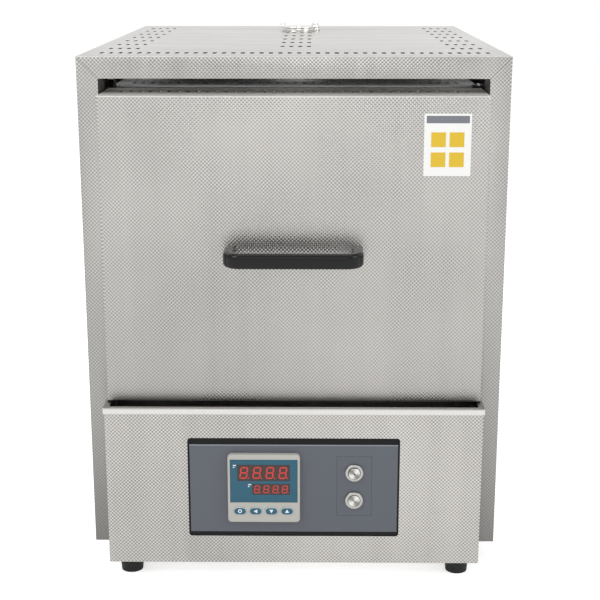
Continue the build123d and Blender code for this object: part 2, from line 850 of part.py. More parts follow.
# Door skin: a deep pan of bright sheet, open at the back, with a row of slots in its top
with BuildPart() as door_skin:
    with BuildSketch(Plane.YZ):
        door_outline(0)
    extrude(amount=door_half, both=True)
    front_rim = door_skin.faces().sort_by(Axis.Y)[0].edges()
    fillet(front_rim, door_edge_radius)
    with BuildSketch(Plane.YZ):
        door_outline(door_sheet)
    extrude(amount=door_half - door_sheet, both=True, mode=Mode.SUBTRACT)
    with BuildSketch(Plane.XY.offset(door_top)):
        with Locations((0, door_rear - door_vent_setback)):
            with GridLocations(door_vent_pitch, 1, door_vent_count, 1):
                Rectangle(door_vent_width, door_vent_length)
    extrude(amount=-door_sheet, mode=Mode.SUBTRACT)
    with BuildSketch(Plane.YZ):
        with Locations((hinge_y, hinge_z)):
            Circle(pin_radius)
    extrude(amount=door_half, both=True, mode=Mode.SUBTRACT)
    with Locations(front_view(door_front)):
        with Locations((0, handle_z)):
            with GridLocations(handle_width - handle_bar, 1, 2, 1):
                Hole(handle_screw_radius, depth=2 * door_sheet)
door_skin.part.label = "door_skin"
export_step(door_skin.part, "parts/door_skin.step")

# Door back: the inner sheet that closes the pan and follows its bevel
with BuildPart() as door_back:
    with BuildSketch(Plane.YZ):
        door_outline(door_sheet)
        door_outline(door_sheet, rear_shift=door_sheet, mode=Mode.SUBTRACT)
    extrude(amount=door_half - door_sheet, both=True)
door_back.part.label = "door_back"
export_step(door_back.part, "parts/door_back.step")

# Door insulation: fibre board that fills the pan up to the air gap under the slots
screw_head_front = door_front + door_sheet
screw_pocket = handle_screw_head + fit_gap
with BuildPart() as door_insulation:
    with BuildSketch(Plane.YZ):
        door_outline(door_sheet, rear_shift=door_sheet, drop=door_air_gap)
    extrude(amount=door_half - door_sheet, both=True)
    with BuildSketch(Plane.YZ):
        with Locations((hinge_y, hinge_z)):
            Rectangle(hinge_block_size, hinge_block_size)
    extrude(amount=door_half, both=True, mode=Mode.SUBTRACT)
    with BuildSketch(Plane.YZ):
        with Locations((hinge_y, hinge_z)):
            Rectangle(hinge_block_size, hinge_block_size)
    extrude(amount=door_half - door_sheet - pin_inner_length - fit_gap, both=True)
    with BuildSketch(front_view(screw_head_front)):
        with Locations((0, handle_z)):
            with GridLocations(handle_width - handle_bar, 1, 2, 1):
                Circle(screw_pocket)
    extrude(amount=-screw_pocket, mode=Mode.SUBTRACT)
door_insulation.part.label = "door_insulation"
export_step(door_insulation.part, "parts/door_insulation.step")

# Door plug: the tapered block that enters the chamber mouth
plug_half = chamber_half - plug_clearance
plug_rise = chamber_height / 2 - plug_clearance
with BuildPart() as door_plug:
    with BuildSketch(front_view(door_rear)):
        with Locations((0, handle_z)):
            Rectangle(2 * plug_half, 2 * plug_rise)
    extrude(amount=-plug_length, taper=plug_taper)
    fillet(door_plug.faces().sort_by(Axis.Y)[-1].edges(), plug_edge)
door_plug.part.label = "door_plug"
export_step(door_plug.part, "parts/door_plug.step")

# Door gasket: a flat fibre ring round the plug
with BuildPart() as door_gasket:
    with BuildSketch(front_view(door_rear)):
        with Locations((0, handle_z)):
            Rectangle(chamber_width + 2 * gasket_width, chamber_height + 2 * gasket_width)
            Rectangle(chamber_width, chamber_height, mode=Mode.SUBTRACT)
    extrude(amount=-gasket_thickness)
door_gasket.part.label = "door_gasket"
export_step(door_gasket.part, "parts/door_gasket.step")

# Bow handle: one moulded bar with two bent legs, rounded all round
with BuildPart() as door_handle:
    handle_front = door_front - handle_reach
    with BuildSketch(Plane.XY.offset(handle_z - handle_height / 2)):
        area(-handle_width / 2, handle_width / 2, handle_front, door_front)
        front_corners = vertices().group_by(Axis.Y)[0]
        fillet(front_corners, handle_corner)
    extrude(amount=handle_height)
    with BuildSketch(Plane.XY.offset(handle_z - handle_height / 2)):
        area(
            handle_bar - handle_width / 2,
            handle_width / 2 - handle_bar,
            handle_front + handle_bar,
            door_front,
        )
        inner_corners = vertices().group_by(Axis.Y)[0]
        fillet(inner_corners, handle_corner - handle_bar)
    extrude(amount=handle_height, mode=Mode.SUBTRACT)
    outer_faces = door_handle.faces().filter_by(Axis.Z)
    fillet(outer_faces.edges().filter_by(lambda edge: edge.center().Y < door_front - fit_gap), handle_edge)
    with BuildSketch(front_view(door_front)):
        with Locations((0, handle_z)):
            with GridLocations(handle_width - handle_bar, 1, 2, 1):
                Circle(handle_screw_radius)
    extrude(amount=handle_screw_bite, mode=Mode.SUBTRACT)
door_handle.part.label = "door_handle"
export_step(door_handle.part, "parts/door_handle.step")

# Screws that hold the handle from inside the door
with BuildPart() as handle_screws:
    with BuildSketch(front_view(screw_head_front)):
        with Locations((0, handle_z)):
            with GridLocations(handle_width - handle_bar, 1, 2, 1):
                Circle(handle_screw_radius)
    extrude(amount=door_sheet + handle_screw_bite - fit_gap)
    with BuildSketch(front_view(screw_head_front)):
        with Locations((0, handle_z)):
            with GridLocations(handle_width - handle_bar, 1, 2, 1):
                Circle(handle_screw_head)
    extrude(amount=-handle_screw_radius)
handle_screws.part.label = "handle_screws"
export_step(handle_screws.part, "parts/handle_screws.step")

# Hinge blocks inside the door, one at each side, that hold the pins
plate_inner = opening_half + casing_sheet
plate_outer = plate_inner + hinge_plate_thickness
pin_outer = plate_outer + bush_flange
block_inner = door_half - door_sheet - pin_inner_length
bush_radius = pin_radius + pin_running_gap + bush_wall
with BuildPart() as hinge_blocks:
    for side in (-1, 1):
        with BuildSketch(Plane.YZ.offset(side * block_inner)):
            with Locations((hinge_y, hinge_z)):
                Rectangle(hinge_block_size - fit_gap, hinge_block_size - fit_gap)
                Circle(pin_radius, mode=Mode.SUBTRACT)
        extrude(amount=side * pin_inner_length)
hinge_blocks.part.label = "hinge_blocks"
export_step(hinge_blocks.part, "parts/hinge_blocks.step")

# Hinge pins, fixed in the door and turning in the bushes
with BuildPart() as hinge_pins:
    for side in (-1, 1):
        with BuildSketch(Plane.YZ.offset(side * block_inner)):
            with Locations((hinge_y, hinge_z)):
                Circle(pin_radius)
        extrude(amount=side * (pin_outer - block_inner))
    pin_ends = hinge_pins.faces().filter_by(Axis.X).sort_by(lambda face: abs(face.center().X))[-2:]
    chamfer(pin_ends.edges(), pin_radius / 6)
hinge_pins.part.label = "hinge_pins"
export_step(hinge_pins.part, "parts/hinge_pins.step")

# Hinge plates behind the returns of the front frame
with BuildPart() as hinge_plates:
    for side in (-1, 1):
        with BuildSketch(Plane.YZ.offset(side * plate_inner)):
            with Locations((front + casing_sheet + frame_return / 2, hinge_z)):
                Rectangle(frame_return - 2 * casing_sheet, hinge_plate_height)
            with Locations((hinge_y, hinge_z)):
                Circle(bush_radius, mode=Mode.SUBTRACT)
                with GridLocations(1, hinge_rivet_spacing, 1, 2):
                    Circle(hinge_rivet_radius, mode=Mode.SUBTRACT)
        extrude(amount=side * hinge_plate_thickness)
hinge_plates.part.label = "hinge_plates"
export_step(hinge_plates.part, "parts/hinge_plates.step")

# Flanged bushes pressed into the hinge plates
with BuildPart() as hinge_bushes:
    for side in (-1, 1):
        with BuildSketch(Plane.YZ.offset(side * plate_inner)):
            with Locations((hinge_y, hinge_z)):
                Circle(bush_radius)
        extrude(amount=side * hinge_plate_thickness)
        with BuildSketch(Plane.YZ.offset(side * plate_outer)):
            with Locations((hinge_y, hinge_z)):
                Circle(bush_radius + bush_flange)
        extrude(amount=side * bush_flange)
    with BuildSketch(Plane.YZ):
        with Locations((hinge_y, hinge_z)):
            Circle(pin_radius + pin_running_gap)
    extrude(amount=pin_outer, both=True, mode=Mode.SUBTRACT)
hinge_bushes.part.label = "hinge_bushes"
export_step(hinge_bushes.part, "parts/hinge_bushes.step")

# Rivets through the frame returns and the hinge plates
with BuildPart() as hinge_rivets:
    for side in (-1, 1):
        for radius, start, length in (
            (hinge_rivet_radius, opening_half, hinge_plate_thickness + casing_sheet),
            (2 * hinge_rivet_radius, plate_outer, hinge_rivet_radius / 2),
        ):
            with BuildSketch(Plane.YZ.offset(side * start)):
                with Locations((hinge_y, hinge_z)):
                    with GridLocations(1, hinge_rivet_spacing, 1, 2):
                        Circle(radius)
            extrude(amount=side * length)
hinge_rivets.part.label = "hinge_rivets"
export_step(hinge_rivets.part, "parts/hinge_rivets.step")

# Catch leaf: a bent spring strip that stands between the door and the housing at the left
with BuildPart() as catch_leaf:
    leaf_foot = housing_top - catch_drop
    leaf_top = housing_top + catch_rise
    with BuildSketch(Plane.YZ.offset(-catch_outer)):
        Polygon(
            (housing_front, leaf_foot),
            (housing_front, leaf_top - catch_bend),
            (door_rear + catch_gap, leaf_top),
            (door_rear + catch_gap, leaf_top - catch_sheet),
            (housing_front - catch_sheet, leaf_top - catch_bend - catch_sheet),
            (housing_front - catch_sheet, leaf_foot),
        )
    extrude(amount=catch_width)
catch_leaf.part.label = "catch_leaf"
export_step(catch_leaf.part, "parts/catch_leaf.step")

# Door sensor at the right: a small switch body with a fixing tab over the housing
sensor_left = housing_half - sensor_inset
sensor_front = housing_front - sensor_depth
with BuildPart() as door_sensor:
    with BuildSketch(Plane.YZ.offset(sensor_left)):
        area(sensor_front, housing_front, housing_top - sensor_height, housing_top)
    extrude(amount=sensor_width)
    fillet(door_sensor.faces().sort_by(Axis.Y)[0].edges(), sensor_tab)
    with BuildSketch(Plane.XY.offset(housing_top)):
        area(sensor_left, sensor_left + sensor_width, sensor_front, housing_front)
    extrude(amount=sensor_tab)
door_sensor.part.label = "door_sensor"
export_step(door_sensor.part, "parts/door_sensor.step")

# Pan-head screws that hold the rear panel to the casing flanges, and one on the sensor
with BuildPart() as pan_screws:
    with BuildSketch(front_view(casing_rear)):
        with Locations((0, (panel_screw_low + panel_screw_high) / 2)):
            with GridLocations(2 * panel_screw_x, panel_screw_pitch, 2, panel_screw_rows):
                Circle(panel_screw_head)
    extrude(amount=-panel_screw_height)
    chamfer(pan_screws.faces().group_by(Axis.Y)[-1].edges(), panel_screw_height / 3)
    sensor_screw_place = (
        sensor_left + sensor_width / 2,
        (sensor_front + housing_front) / 2,
        housing_top + sensor_tab,
    )
    with Locations(sensor_screw_place):
        Cylinder(
            panel_screw_head,
            panel_screw_height,
            align=(Align.CENTER, Align.CENTER, Align.MIN),
        )
pan_screws.part.label = "pan_screws"
export_step(pan_screws.part, "parts/pan_screws.step")

# Magnet on the back of the door, facing the sensor
with BuildPart() as door_magnet:
    magnet_left = door_half - door_sheet - magnet_width - fit_gap
    magnet_top = door_top - 2 * door_sheet
    with BuildSketch(front_view(door_rear)):
        area(magnet_left, magnet_left + magnet_width, magnet_top - magnet_width, magnet_top)
    extrude(amount=-magnet_depth)
door_magnet.part.label = "door_magnet"
export_step(door_magnet.part, "parts/door_magnet.step")

# Control panel: dark backing plate with a printed fascia sheet on it
window_z = (window_bottom + window_top) / 2
fascia_half = window_width / 2 - fascia_side_margin
with BuildPart() as control_backing:
    with BuildSketch(front_view(backing_front)):
        with Locations((0, window_z)):
            Rectangle(
                window_width + 2 * backing_overlap,
                window_top - window_bottom + 2 * backing_overlap,
            )
        with Locations((controller_x, controller_z)):
            Rectangle(
                controller_case_size + fit_gap,
                controller_case_size + fit_gap,
                mode=Mode.SUBTRACT,
            )
        with Locations((button_x, button_upper_z), (button_x, button_lower_z)):
            Circle(button_barrel_radius + button_gap, mode=Mode.SUBTRACT)
    extrude(amount=-backing_sheet)
control_backing.part.label = "control_backing"
export_step(control_backing.part, "parts/control_backing.step")

with BuildPart() as control_fascia:
    with BuildSketch(front_view(backing_front)):
        area(
            -fascia_half,
            fascia_half,
            window_bottom + fascia_bottom_margin,
            window_top - fascia_top_margin,
        )
        with Locations((controller_x, controller_z)):
            Rectangle(
                controller_case_size + fit_gap,
                controller_case_size + fit_gap,
                mode=Mode.SUBTRACT,
            )
        with Locations((button_x, button_upper_z), (button_x, button_lower_z)):
            Circle(button_barrel_radius + button_gap, mode=Mode.SUBTRACT)
    extrude(amount=fascia_sheet)
control_fascia.part.label = "control_fascia"
export_step(control_fascia.part, "parts/control_fascia.step")

# Temperature controller: case, bezel, face plate, display windows and four keys
with BuildPart() as controller_case:
    with BuildSketch(front_view(fascia_front)):
        with Locations((controller_x, controller_z)):
            Rectangle(controller_case_size, controller_case_size)
    extrude(amount=-controller_case_depth)
    fillet(controller_case.edges().filter_by(Axis.Y), controller_case_edge)
controller_case.part.label = "controller_case"
export_step(controller_case.part, "parts/controller_case.step")

face_z = controller_z + controller_size / 2 - face_top_margin - face_height / 2
key_z = controller_z - key_drop
key_places = [(controller_x + key_first + index * key_pitch, key_z) for index in range(4)]
with BuildPart() as controller_bezel_frame:
    with BuildSketch(front_view(fascia_front)):
        with Locations((controller_x, controller_z)):
            RectangleRounded(controller_size, controller_size, controller_corner)
    extrude(amount=controller_bezel)
    front_rim = controller_bezel_frame.faces().sort_by(Axis.Y)[0].edges()
    fillet(front_rim, face_depth)
    with BuildSketch(front_view(bezel_front)):
        with Locations((controller_x, face_z)):
            Rectangle(face_width, face_height)
    extrude(amount=-face_depth, mode=Mode.SUBTRACT)
    with BuildSketch(front_view(bezel_front)):
        with Locations(*key_places):
            SlotOverall(key_width + 2 * key_gap, key_height + 2 * key_gap)
    extrude(amount=-controller_bezel, mode=Mode.SUBTRACT)
controller_bezel_frame.part.label = "controller_bezel"
export_step(controller_bezel_frame.part, "parts/controller_bezel.step")

face_right = controller_x + face_width / 2 - window_right_margin
upper_window = (
    face_right - upper_window_width / 2,
    face_z + face_height / 2 - upper_window_drop - upper_window_height / 2,
)
lower_window = (
    face_right - lower_window_width / 2,
    face_z - face_height / 2 + lower_window_rise + lower_window_height / 2,
)
with BuildPart() as controller_face:
    with BuildSketch(front_view(bezel_front + face_depth)):
        with Locations((controller_x, face_z)):
            Rectangle(face_width - fit_gap, face_height - fit_gap)
    extrude(amount=face_depth - fit_gap)
    with BuildSketch(front_view(bezel_front + fit_gap)):
        with Locations(upper_window):
            Rectangle(upper_window_width, upper_window_height)
        with Locations(lower_window):
            Rectangle(lower_window_width, lower_window_height)
    extrude(amount=-window_depth, mode=Mode.SUBTRACT)
controller_face.part.label = "controller_face"
export_step(controller_face.part, "parts/controller_face.step")

with BuildPart() as display_windows:
    with BuildSketch(front_view(bezel_front + fit_gap + window_depth)):
        with Locations(upper_window):
            Rectangle(upper_window_width - fit_gap, upper_window_height - fit_gap)
        with Locations(lower_window):
            Rectangle(lower_window_width - fit_gap, lower_window_height - fit_gap)
    extrude(amount=window_depth - fit_gap / 2)
display_windows.part.label = "display_windows"
export_step(display_windows.part, "parts/display_windows.step")

for name, place in zip(("key_set", "key_shift", "key_down", "key_up"), key_places):
    with BuildPart() as key:
        with BuildSketch(front_view(bezel_front - key_proud)):
            with Locations(place):
                SlotOverall(key_width, key_height)
        extrude(amount=-key_length)
        fillet(key.faces().sort_by(Axis.Y)[0].edges(), key_proud / 2)
    key.part.label = name
    export_step(key.part, f"parts/{name}.step")

# Push-buttons: rings with their barrels, sliding caps and the nuts behind the backing plate
button_ring_front = fascia_front - button_ring_proud
with BuildPart() as button_bodies:
    with BuildSketch(front_view(fascia_front)):
        with Locations((button_x, button_upper_z), (button_x, button_lower_z)):
            Circle(button_ring_radius)
    extrude(amount=button_ring_proud)
    fillet(button_bodies.faces().group_by(Axis.Y)[0].edges(), button_ring_proud / 3)
    with BuildSketch(front_view(fascia_front)):
        with Locations((button_x, button_upper_z), (button_x, button_lower_z)):
            Circle(button_barrel_radius)
    extrude(amount=-button_barrel_length)
    with BuildSketch(front_view(button_ring_front)):
        with Locations((button_x, button_upper_z), (button_x, button_lower_z)):
            Circle(button_cap_radius + button_gap)
    extrude(amount=-button_bore_depth, mode=Mode.SUBTRACT)
button_bodies.part.label = "button_bodies"
export_step(button_bodies.part, "parts/button_bodies.step")

for name, height, proud in (
    ("start_button", button_upper_z, button_upper_proud),
    ("stop_button", button_lower_z, button_lower_proud),
):
    with BuildPart() as button_cap:
        with BuildSketch(front_view(button_ring_front - proud)):
            with Locations((button_x, height)):
                Circle(button_cap_radius)
        extrude(amount=-button_cap_length - proud)
        fillet(button_cap.faces().sort_by(Axis.Y)[0].edges(), proud * 0.8)
    button_cap.part.label = name
    export_step(button_cap.part, f"parts/{name}.step")

with BuildPart() as button_nuts:
    with BuildSketch(front_view(backing_front + backing_sheet)):
        with Locations((button_x, button_upper_z), (button_x, button_lower_z)):
            RegularPolygon(button_nut_radius, 6)
            Circle(button_barrel_radius + button_gap / 2, mode=Mode.SUBTRACT)
    extrude(amount=-button_nut_height)
button_nuts.part.label = "button_nuts"
export_step(button_nuts.part, "parts/button_nuts.step")

# Heat sink with its fins up, and the power relay beside it on the tray floor
with BuildPart() as heat_sink:
    sink_y = casing_rear - relay_rear_gap
    with BuildSketch(front_view(sink_y - sink_length / 2)):
        area(
            relay_x - sink_width / 2,
            relay_x + sink_width / 2,
            tray_floor,
            tray_floor + sink_fin_height,
        )
        with Locations((relay_x, tray_floor + sink_fin_height / 2)):
            with GridLocations((sink_width - sink_fin) / (sink_fins - 1), 1, sink_fins, 1):
                Rectangle(sink_fin, sink_fin_height)
        area(
            relay_x - sink_width / 2 + sink_fin,
            relay_x + sink_width / 2 - sink_fin,
            tray_floor,
            tray_floor + sink_fin_height - sink_base,
            Mode.SUBTRACT,
        )
        with Locations((relay_x, tray_floor + (sink_fin_height - sink_base) / 2)):
            with GridLocations((sink_width - sink_fin) / (sink_fins - 1), 1, sink_fins, 1):
                Rectangle(sink_fin, sink_fin_height - sink_base)
    extrude(amount=-sink_length)
heat_sink.part.label = "heat_sink"
export_step(heat_sink.part, "parts/heat_sink.step")

with BuildPart() as power_relay:
    with BuildSketch(Plane.XY.offset(tray_floor + sink_fin_height)):
        with Locations((relay_x, sink_y)):
            Rectangle(relay_width, relay_length)
            with GridLocations(1, relay_length, 1, 2):
                Circle(relay_width / 10, mode=Mode.SUBTRACT)
    extrude(amount=relay_height)
    fillet(power_relay.faces().sort_by(Axis.Z)[-1].edges().filter_by(Axis.Y), relay_edge)
power_relay.part.label = "power_relay"
export_step(power_relay.part, "parts/power_relay.step")

# Mains terminal block near the cable entry
terminal_y = casing_rear - terminal_rear_gap
with BuildPart() as terminal_block:
    with BuildSketch(front_view(terminal_y - terminal_depth / 2)):
        area(
            terminal_x - terminal_width / 2,
            terminal_x + terminal_width / 2,
            tray_floor,
            tray_floor + terminal_height,
        )
    extrude(amount=-terminal_depth)
    with BuildSketch(Plane.XY.offset(tray_floor + terminal_height)):
        with Locations((terminal_x, terminal_y)):
            with GridLocations(terminal_width / terminal_ways, terminal_depth, terminal_ways, 2):
                Rectangle(terminal_width / terminal_ways - terminal_wall, terminal_depth / 2)
    extrude(amount=-terminal_height / 3, mode=Mode.SUBTRACT)
terminal_block.part.label = "terminal_block"
export_step(terminal_block.part, "parts/terminal_block.step")

# Cable gland through the rear panel: thread, flange and dome round one bore
gland_dome_length = gland_reach - gland_flange_height
with BuildPart() as cable_gland:
    with BuildSketch(front_view(panel_front - gland_inside)):
        with Locations((gland_x, gland_z)):
            Circle(gland_thread)
    extrude(amount=-gland_inside - casing_sheet)
    with BuildSketch(front_view(casing_rear)):
        with Locations((gland_x, gland_z)):
            RegularPolygon(gland_flange, 6)
    extrude(amount=-gland_flange_height)
    with BuildSketch(front_view(casing_rear + gland_flange_height)):
        with Locations((gland_x, gland_z)):
            Circle(gland_thread + gland_dome_wall)
    extrude(amount=-gland_dome_length)
    fillet(cable_gland.faces().sort_by(Axis.Y)[-1].edges(), (gland_thread - gland_bore) / 2)
    with BuildSketch(front_view(panel_front - gland_inside)):
        with Locations((gland_x, gland_z)):
            Circle(gland_bore)
    extrude(amount=-gland_inside - casing_sheet - gland_reach, mode=Mode.SUBTRACT)
cable_gland.part.label = "cable_gland"
export_step(cable_gland.part, "parts/cable_gland.step")

with BuildPart() as gland_locknut:
    with BuildSketch(front_view(panel_front - gland_nut_height)):
        with Locations((gland_x, gland_z)):
            RegularPolygon(gland_flange, 6)
            Circle(gland_thread + fit_gap / 4, mode=Mode.SUBTRACT)
    extrude(amount=-gland_nut_height)
gland_locknut.part.label = "gland_locknut"
export_step(gland_locknut.part, "parts/gland_locknut.step")
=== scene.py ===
from math import cos, pi, radians, sin

import bmesh
import bpy
from mathutils import Matrix, Vector


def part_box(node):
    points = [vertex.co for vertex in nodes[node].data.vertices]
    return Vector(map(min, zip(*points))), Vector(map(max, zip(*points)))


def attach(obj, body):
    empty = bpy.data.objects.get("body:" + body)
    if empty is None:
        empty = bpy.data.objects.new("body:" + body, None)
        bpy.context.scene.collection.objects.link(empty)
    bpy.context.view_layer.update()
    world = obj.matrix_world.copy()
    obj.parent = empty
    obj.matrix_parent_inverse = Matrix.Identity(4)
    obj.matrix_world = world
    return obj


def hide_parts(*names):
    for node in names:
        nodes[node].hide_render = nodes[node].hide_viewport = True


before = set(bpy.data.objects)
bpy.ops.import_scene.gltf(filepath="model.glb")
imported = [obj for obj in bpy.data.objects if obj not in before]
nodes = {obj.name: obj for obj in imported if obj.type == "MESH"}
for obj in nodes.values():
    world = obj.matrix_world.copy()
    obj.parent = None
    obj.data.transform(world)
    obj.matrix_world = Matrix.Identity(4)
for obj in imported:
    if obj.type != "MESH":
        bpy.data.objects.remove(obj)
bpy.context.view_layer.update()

MM = 0.001


def corners(name):
    """The lowest and highest corner of a CAD node, in millimetres."""
    low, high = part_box(name)
    return Vector(low) / MM, Vector(high) / MM


# The camera stands about 1.26 m in front of the furnace, a little above its top and a hair to the right,
# and looks down at it by 15 degrees with a long lens, as in a catalogue picture.
casing_low, casing_high = corners("outer_casing")
camera_reach = Vector((18.33, -1262.62, 94.30))
camera_lens = 78.81
camera_dip = 14.776
camera_turn = 0.564
camera_data = bpy.data.cameras.new("camera")
camera_data.sensor_width = 36.0
camera_data.lens = camera_lens
camera_data.clip_end = 50.0
camera = bpy.data.objects.new("camera", camera_data)
camera.location = (Vector((0.0, casing_low.y, casing_high.z)) + camera_reach) * MM
camera.rotation_euler = (radians(90.0 - camera_dip), 0.0, radians(camera_turn))
bpy.context.scene.collection.objects.link(camera)
bpy.context.scene.camera = camera
bpy.context.scene.view_settings.view_transform = "Standard"


# Rubber feet. Four moulded black rubber bosses stand under the corners of the base, each held by one
# zinc-plated screw from below through its well.
class Value:
    """A socket of a shader tree that adds, subtracts, multiplies and divides as a number does."""

    def __init__(self, tree, socket):
        self.tree = tree
        self.socket = socket

    def maths(self, operation, *others):
        return self.tree.add("ShaderNodeMath", list((self,) + others), operation=operation)

    def __add__(self, other):
        return self.maths("ADD", other)

    def __sub__(self, other):
        return self.maths("SUBTRACT", other)

    def __rsub__(self, other):
        return self.tree.add("ShaderNodeMath", [other, self], operation="SUBTRACT")

    def __mul__(self, other):
        return self.maths("MULTIPLY", other)

    def __truediv__(self, other):
        return self.maths("DIVIDE", other)

    def __gt__(self, other):
        return self.maths("GREATER_THAN", other)

    def __lt__(self, other):
        return self.maths("LESS_THAN", other)

    def __abs__(self):
        return self.maths("ABSOLUTE")

    __radd__ = __add__
    __rmul__ = __mul__


class Finish:
    """The node tree of one material, built round a Principled shader."""

    def __init__(self, name, colour, roughness=0.5, metallic=0.0, **plain):
        self.material = bpy.data.materials.new(name)
        self.material.use_nodes = True
        self.material.diffuse_color = (*colour, 1.0)
        self.tree = self.material.node_tree
        self.tree.nodes.clear()
        self.shader = self.tree.nodes.new("ShaderNodeBsdfPrincipled")
        self.output = self.tree.nodes.new("ShaderNodeOutputMaterial")
        self.tree.links.new(self.shader.outputs[0], self.output.inputs[0])
        self.set("Base Color", (*colour, 1.0))
        self.set("Roughness", roughness)
        self.set("Metallic", metallic)
        for socket, value in plain.items():
            self.set(socket.replace("_", " ").title(), value)

    def add(self, kind, inputs=(), output=0, **settings):
        """Add a node with its settings, then its inputs by place or by name, and give one output."""
        node = self.tree.nodes.new(kind)
        for name, setting in settings.items():
            setattr(node, name, setting)
        pairs = inputs.items() if isinstance(inputs, dict) else enumerate(inputs)
        for key, value in pairs:
            if isinstance(value, Value):
                self.tree.links.new(value.socket, node.inputs[key])
            else:
                node.inputs[key].default_value = value
        return Value(self, node.outputs[output])

    def set(self, socket, value):
        if isinstance(value, Value):
            self.tree.links.new(value.socket, self.shader.inputs[socket])
        else:
            self.shader.inputs[socket].default_value = value

    def axes(self, kind, scale=1.0):
        """The X, Y and Z parts of the Object or Normal coordinate."""
        vector = self.add("ShaderNodeTexCoord", output=kind)
        split = self.tree.nodes.new("ShaderNodeSeparateXYZ")
        self.tree.links.new(vector.socket, split.inputs[0])
        return [Value(self, split.outputs[i]) * scale for i in range(3)]

    def place(self):
        """X, Y and Z on the piece, in millimetres."""
        return self.axes("Object", 1.0 / MM)

    def noise(self, scale, detail=2.0, stretch=(1.0, 1.0, 1.0)):
        """Soft noise from 0 to 1, about scale blobs to the metre, stretched along the axes."""
        point = self.add("ShaderNodeTexCoord", output="Object")
        mapped = self.add("ShaderNodeMapping", {"Vector": point, "Scale": stretch})
        return self.add("ShaderNodeTexNoise", {"Vector": mapped, "Scale": scale, "Detail": detail})

    def blend(self, mask, low, high):
        """A colour that goes from low to high as mask goes from 0 to 1."""
        low, high = [c if isinstance(c, Value) else (*c, 1.0) for c in (low, high)]
        inputs = {"Factor": mask, 6: low, 7: high}
        return self.add("ShaderNodeMix", inputs, output=2, data_type="RGBA", clamp_factor=True)

    def ramp(self, value, low, high):
        """0 below low, 1 above high, straight between."""
        return self.add("ShaderNodeMapRange", {"Value": value, "From Min": low, "From Max": high})

    def bump(self, height, depth, strength=1.0):
        """Raise the surface by height times depth, in millimetres."""
        inputs = {"Strength": strength, "Distance": depth * MM, "Height": height}
        self.set("Normal", self.add("ShaderNodeBump", inputs))


def mottled(name, colour, roughness, metallic=0.0, grain=900.0, spread=0.14, depth=0.03, **plain):
    """A plain finish with fine grain, a soft change of tone and slightly uneven gloss."""
    finish = Finish(name, colour, roughness, metallic, **plain)
    fine = finish.noise(grain, 3.0)
    cloud = finish.noise(24.0, 2.0)
    dark = tuple(c * (1.0 - spread) for c in colour)
    light = tuple(min(c * (1.0 + spread), 1.0) for c in colour)
    finish.set("Base Color", finish.blend(fine * 0.5 + cloud * 0.5, dark, light))
    finish.set("Roughness", roughness + (cloud - 0.5) * 0.14)
    finish.bump(fine, depth, 0.6)
    return finish


def dress(finish, *names):
    """Give CAD nodes their finish in place of the plain one."""
    for name in names:
        nodes[name].data.materials.clear()
        nodes[name].data.materials.append(finish.material)


def weld(piece):
    """Join the doubled points of a CAD mesh and shade its faces smoothly."""
    joint = piece.modifiers.new("weld", "WELD")
    joint.merge_threshold = 0.01 * MM
    for face in piece.data.polygons:
        face.use_smooth = True


def crease(piece, angle):
    """Keep each edge sharp that turns by more than the angle, in degrees."""
    split = piece.modifiers.new("crease", "EDGE_SPLIT")
    split.split_angle = radians(angle)


def smooth(*names, angle=32.0):
    """Shade the curved faces of CAD nodes smoothly and keep their creases."""
    for name in names:
        weld(nodes[name])
        crease(nodes[name], angle)


def soften(name, width, segments=2):
    """Round the edges of a CAD node by a small bevel, as a bent or deburred edge is."""
    piece = nodes[name]
    weld(piece)
    bevel = piece.modifiers.new("bevel", "BEVEL")
    bevel.width = width * MM
    bevel.segments = segments
    bevel.limit_method = "ANGLE"
    bevel.angle_limit = radians(35.0)
    crease(piece, 50.0)


foot_rubber = mottled("foot_rubber", (0.012, 0.012, 0.013), 0.62, grain=1400.0)
foot_rubber.set("Specular IOR Level", 0.25)
dress(foot_rubber, "rubber_feet")
zinc = mottled("zinc_plate", (0.66, 0.66, 0.64), 0.3, 1.0, grain=500.0)
dress(zinc, "foot_screws")
smooth("rubber_feet", "foot_screws")


# Base tray and deck. The tray is folded from thin stainless sheet, open at the front; the deck over it
# parts the controls from the hot half and floors the trough under the door.
linen_pitch = 3.7
linen_height = 0.12
seam_width = 0.28


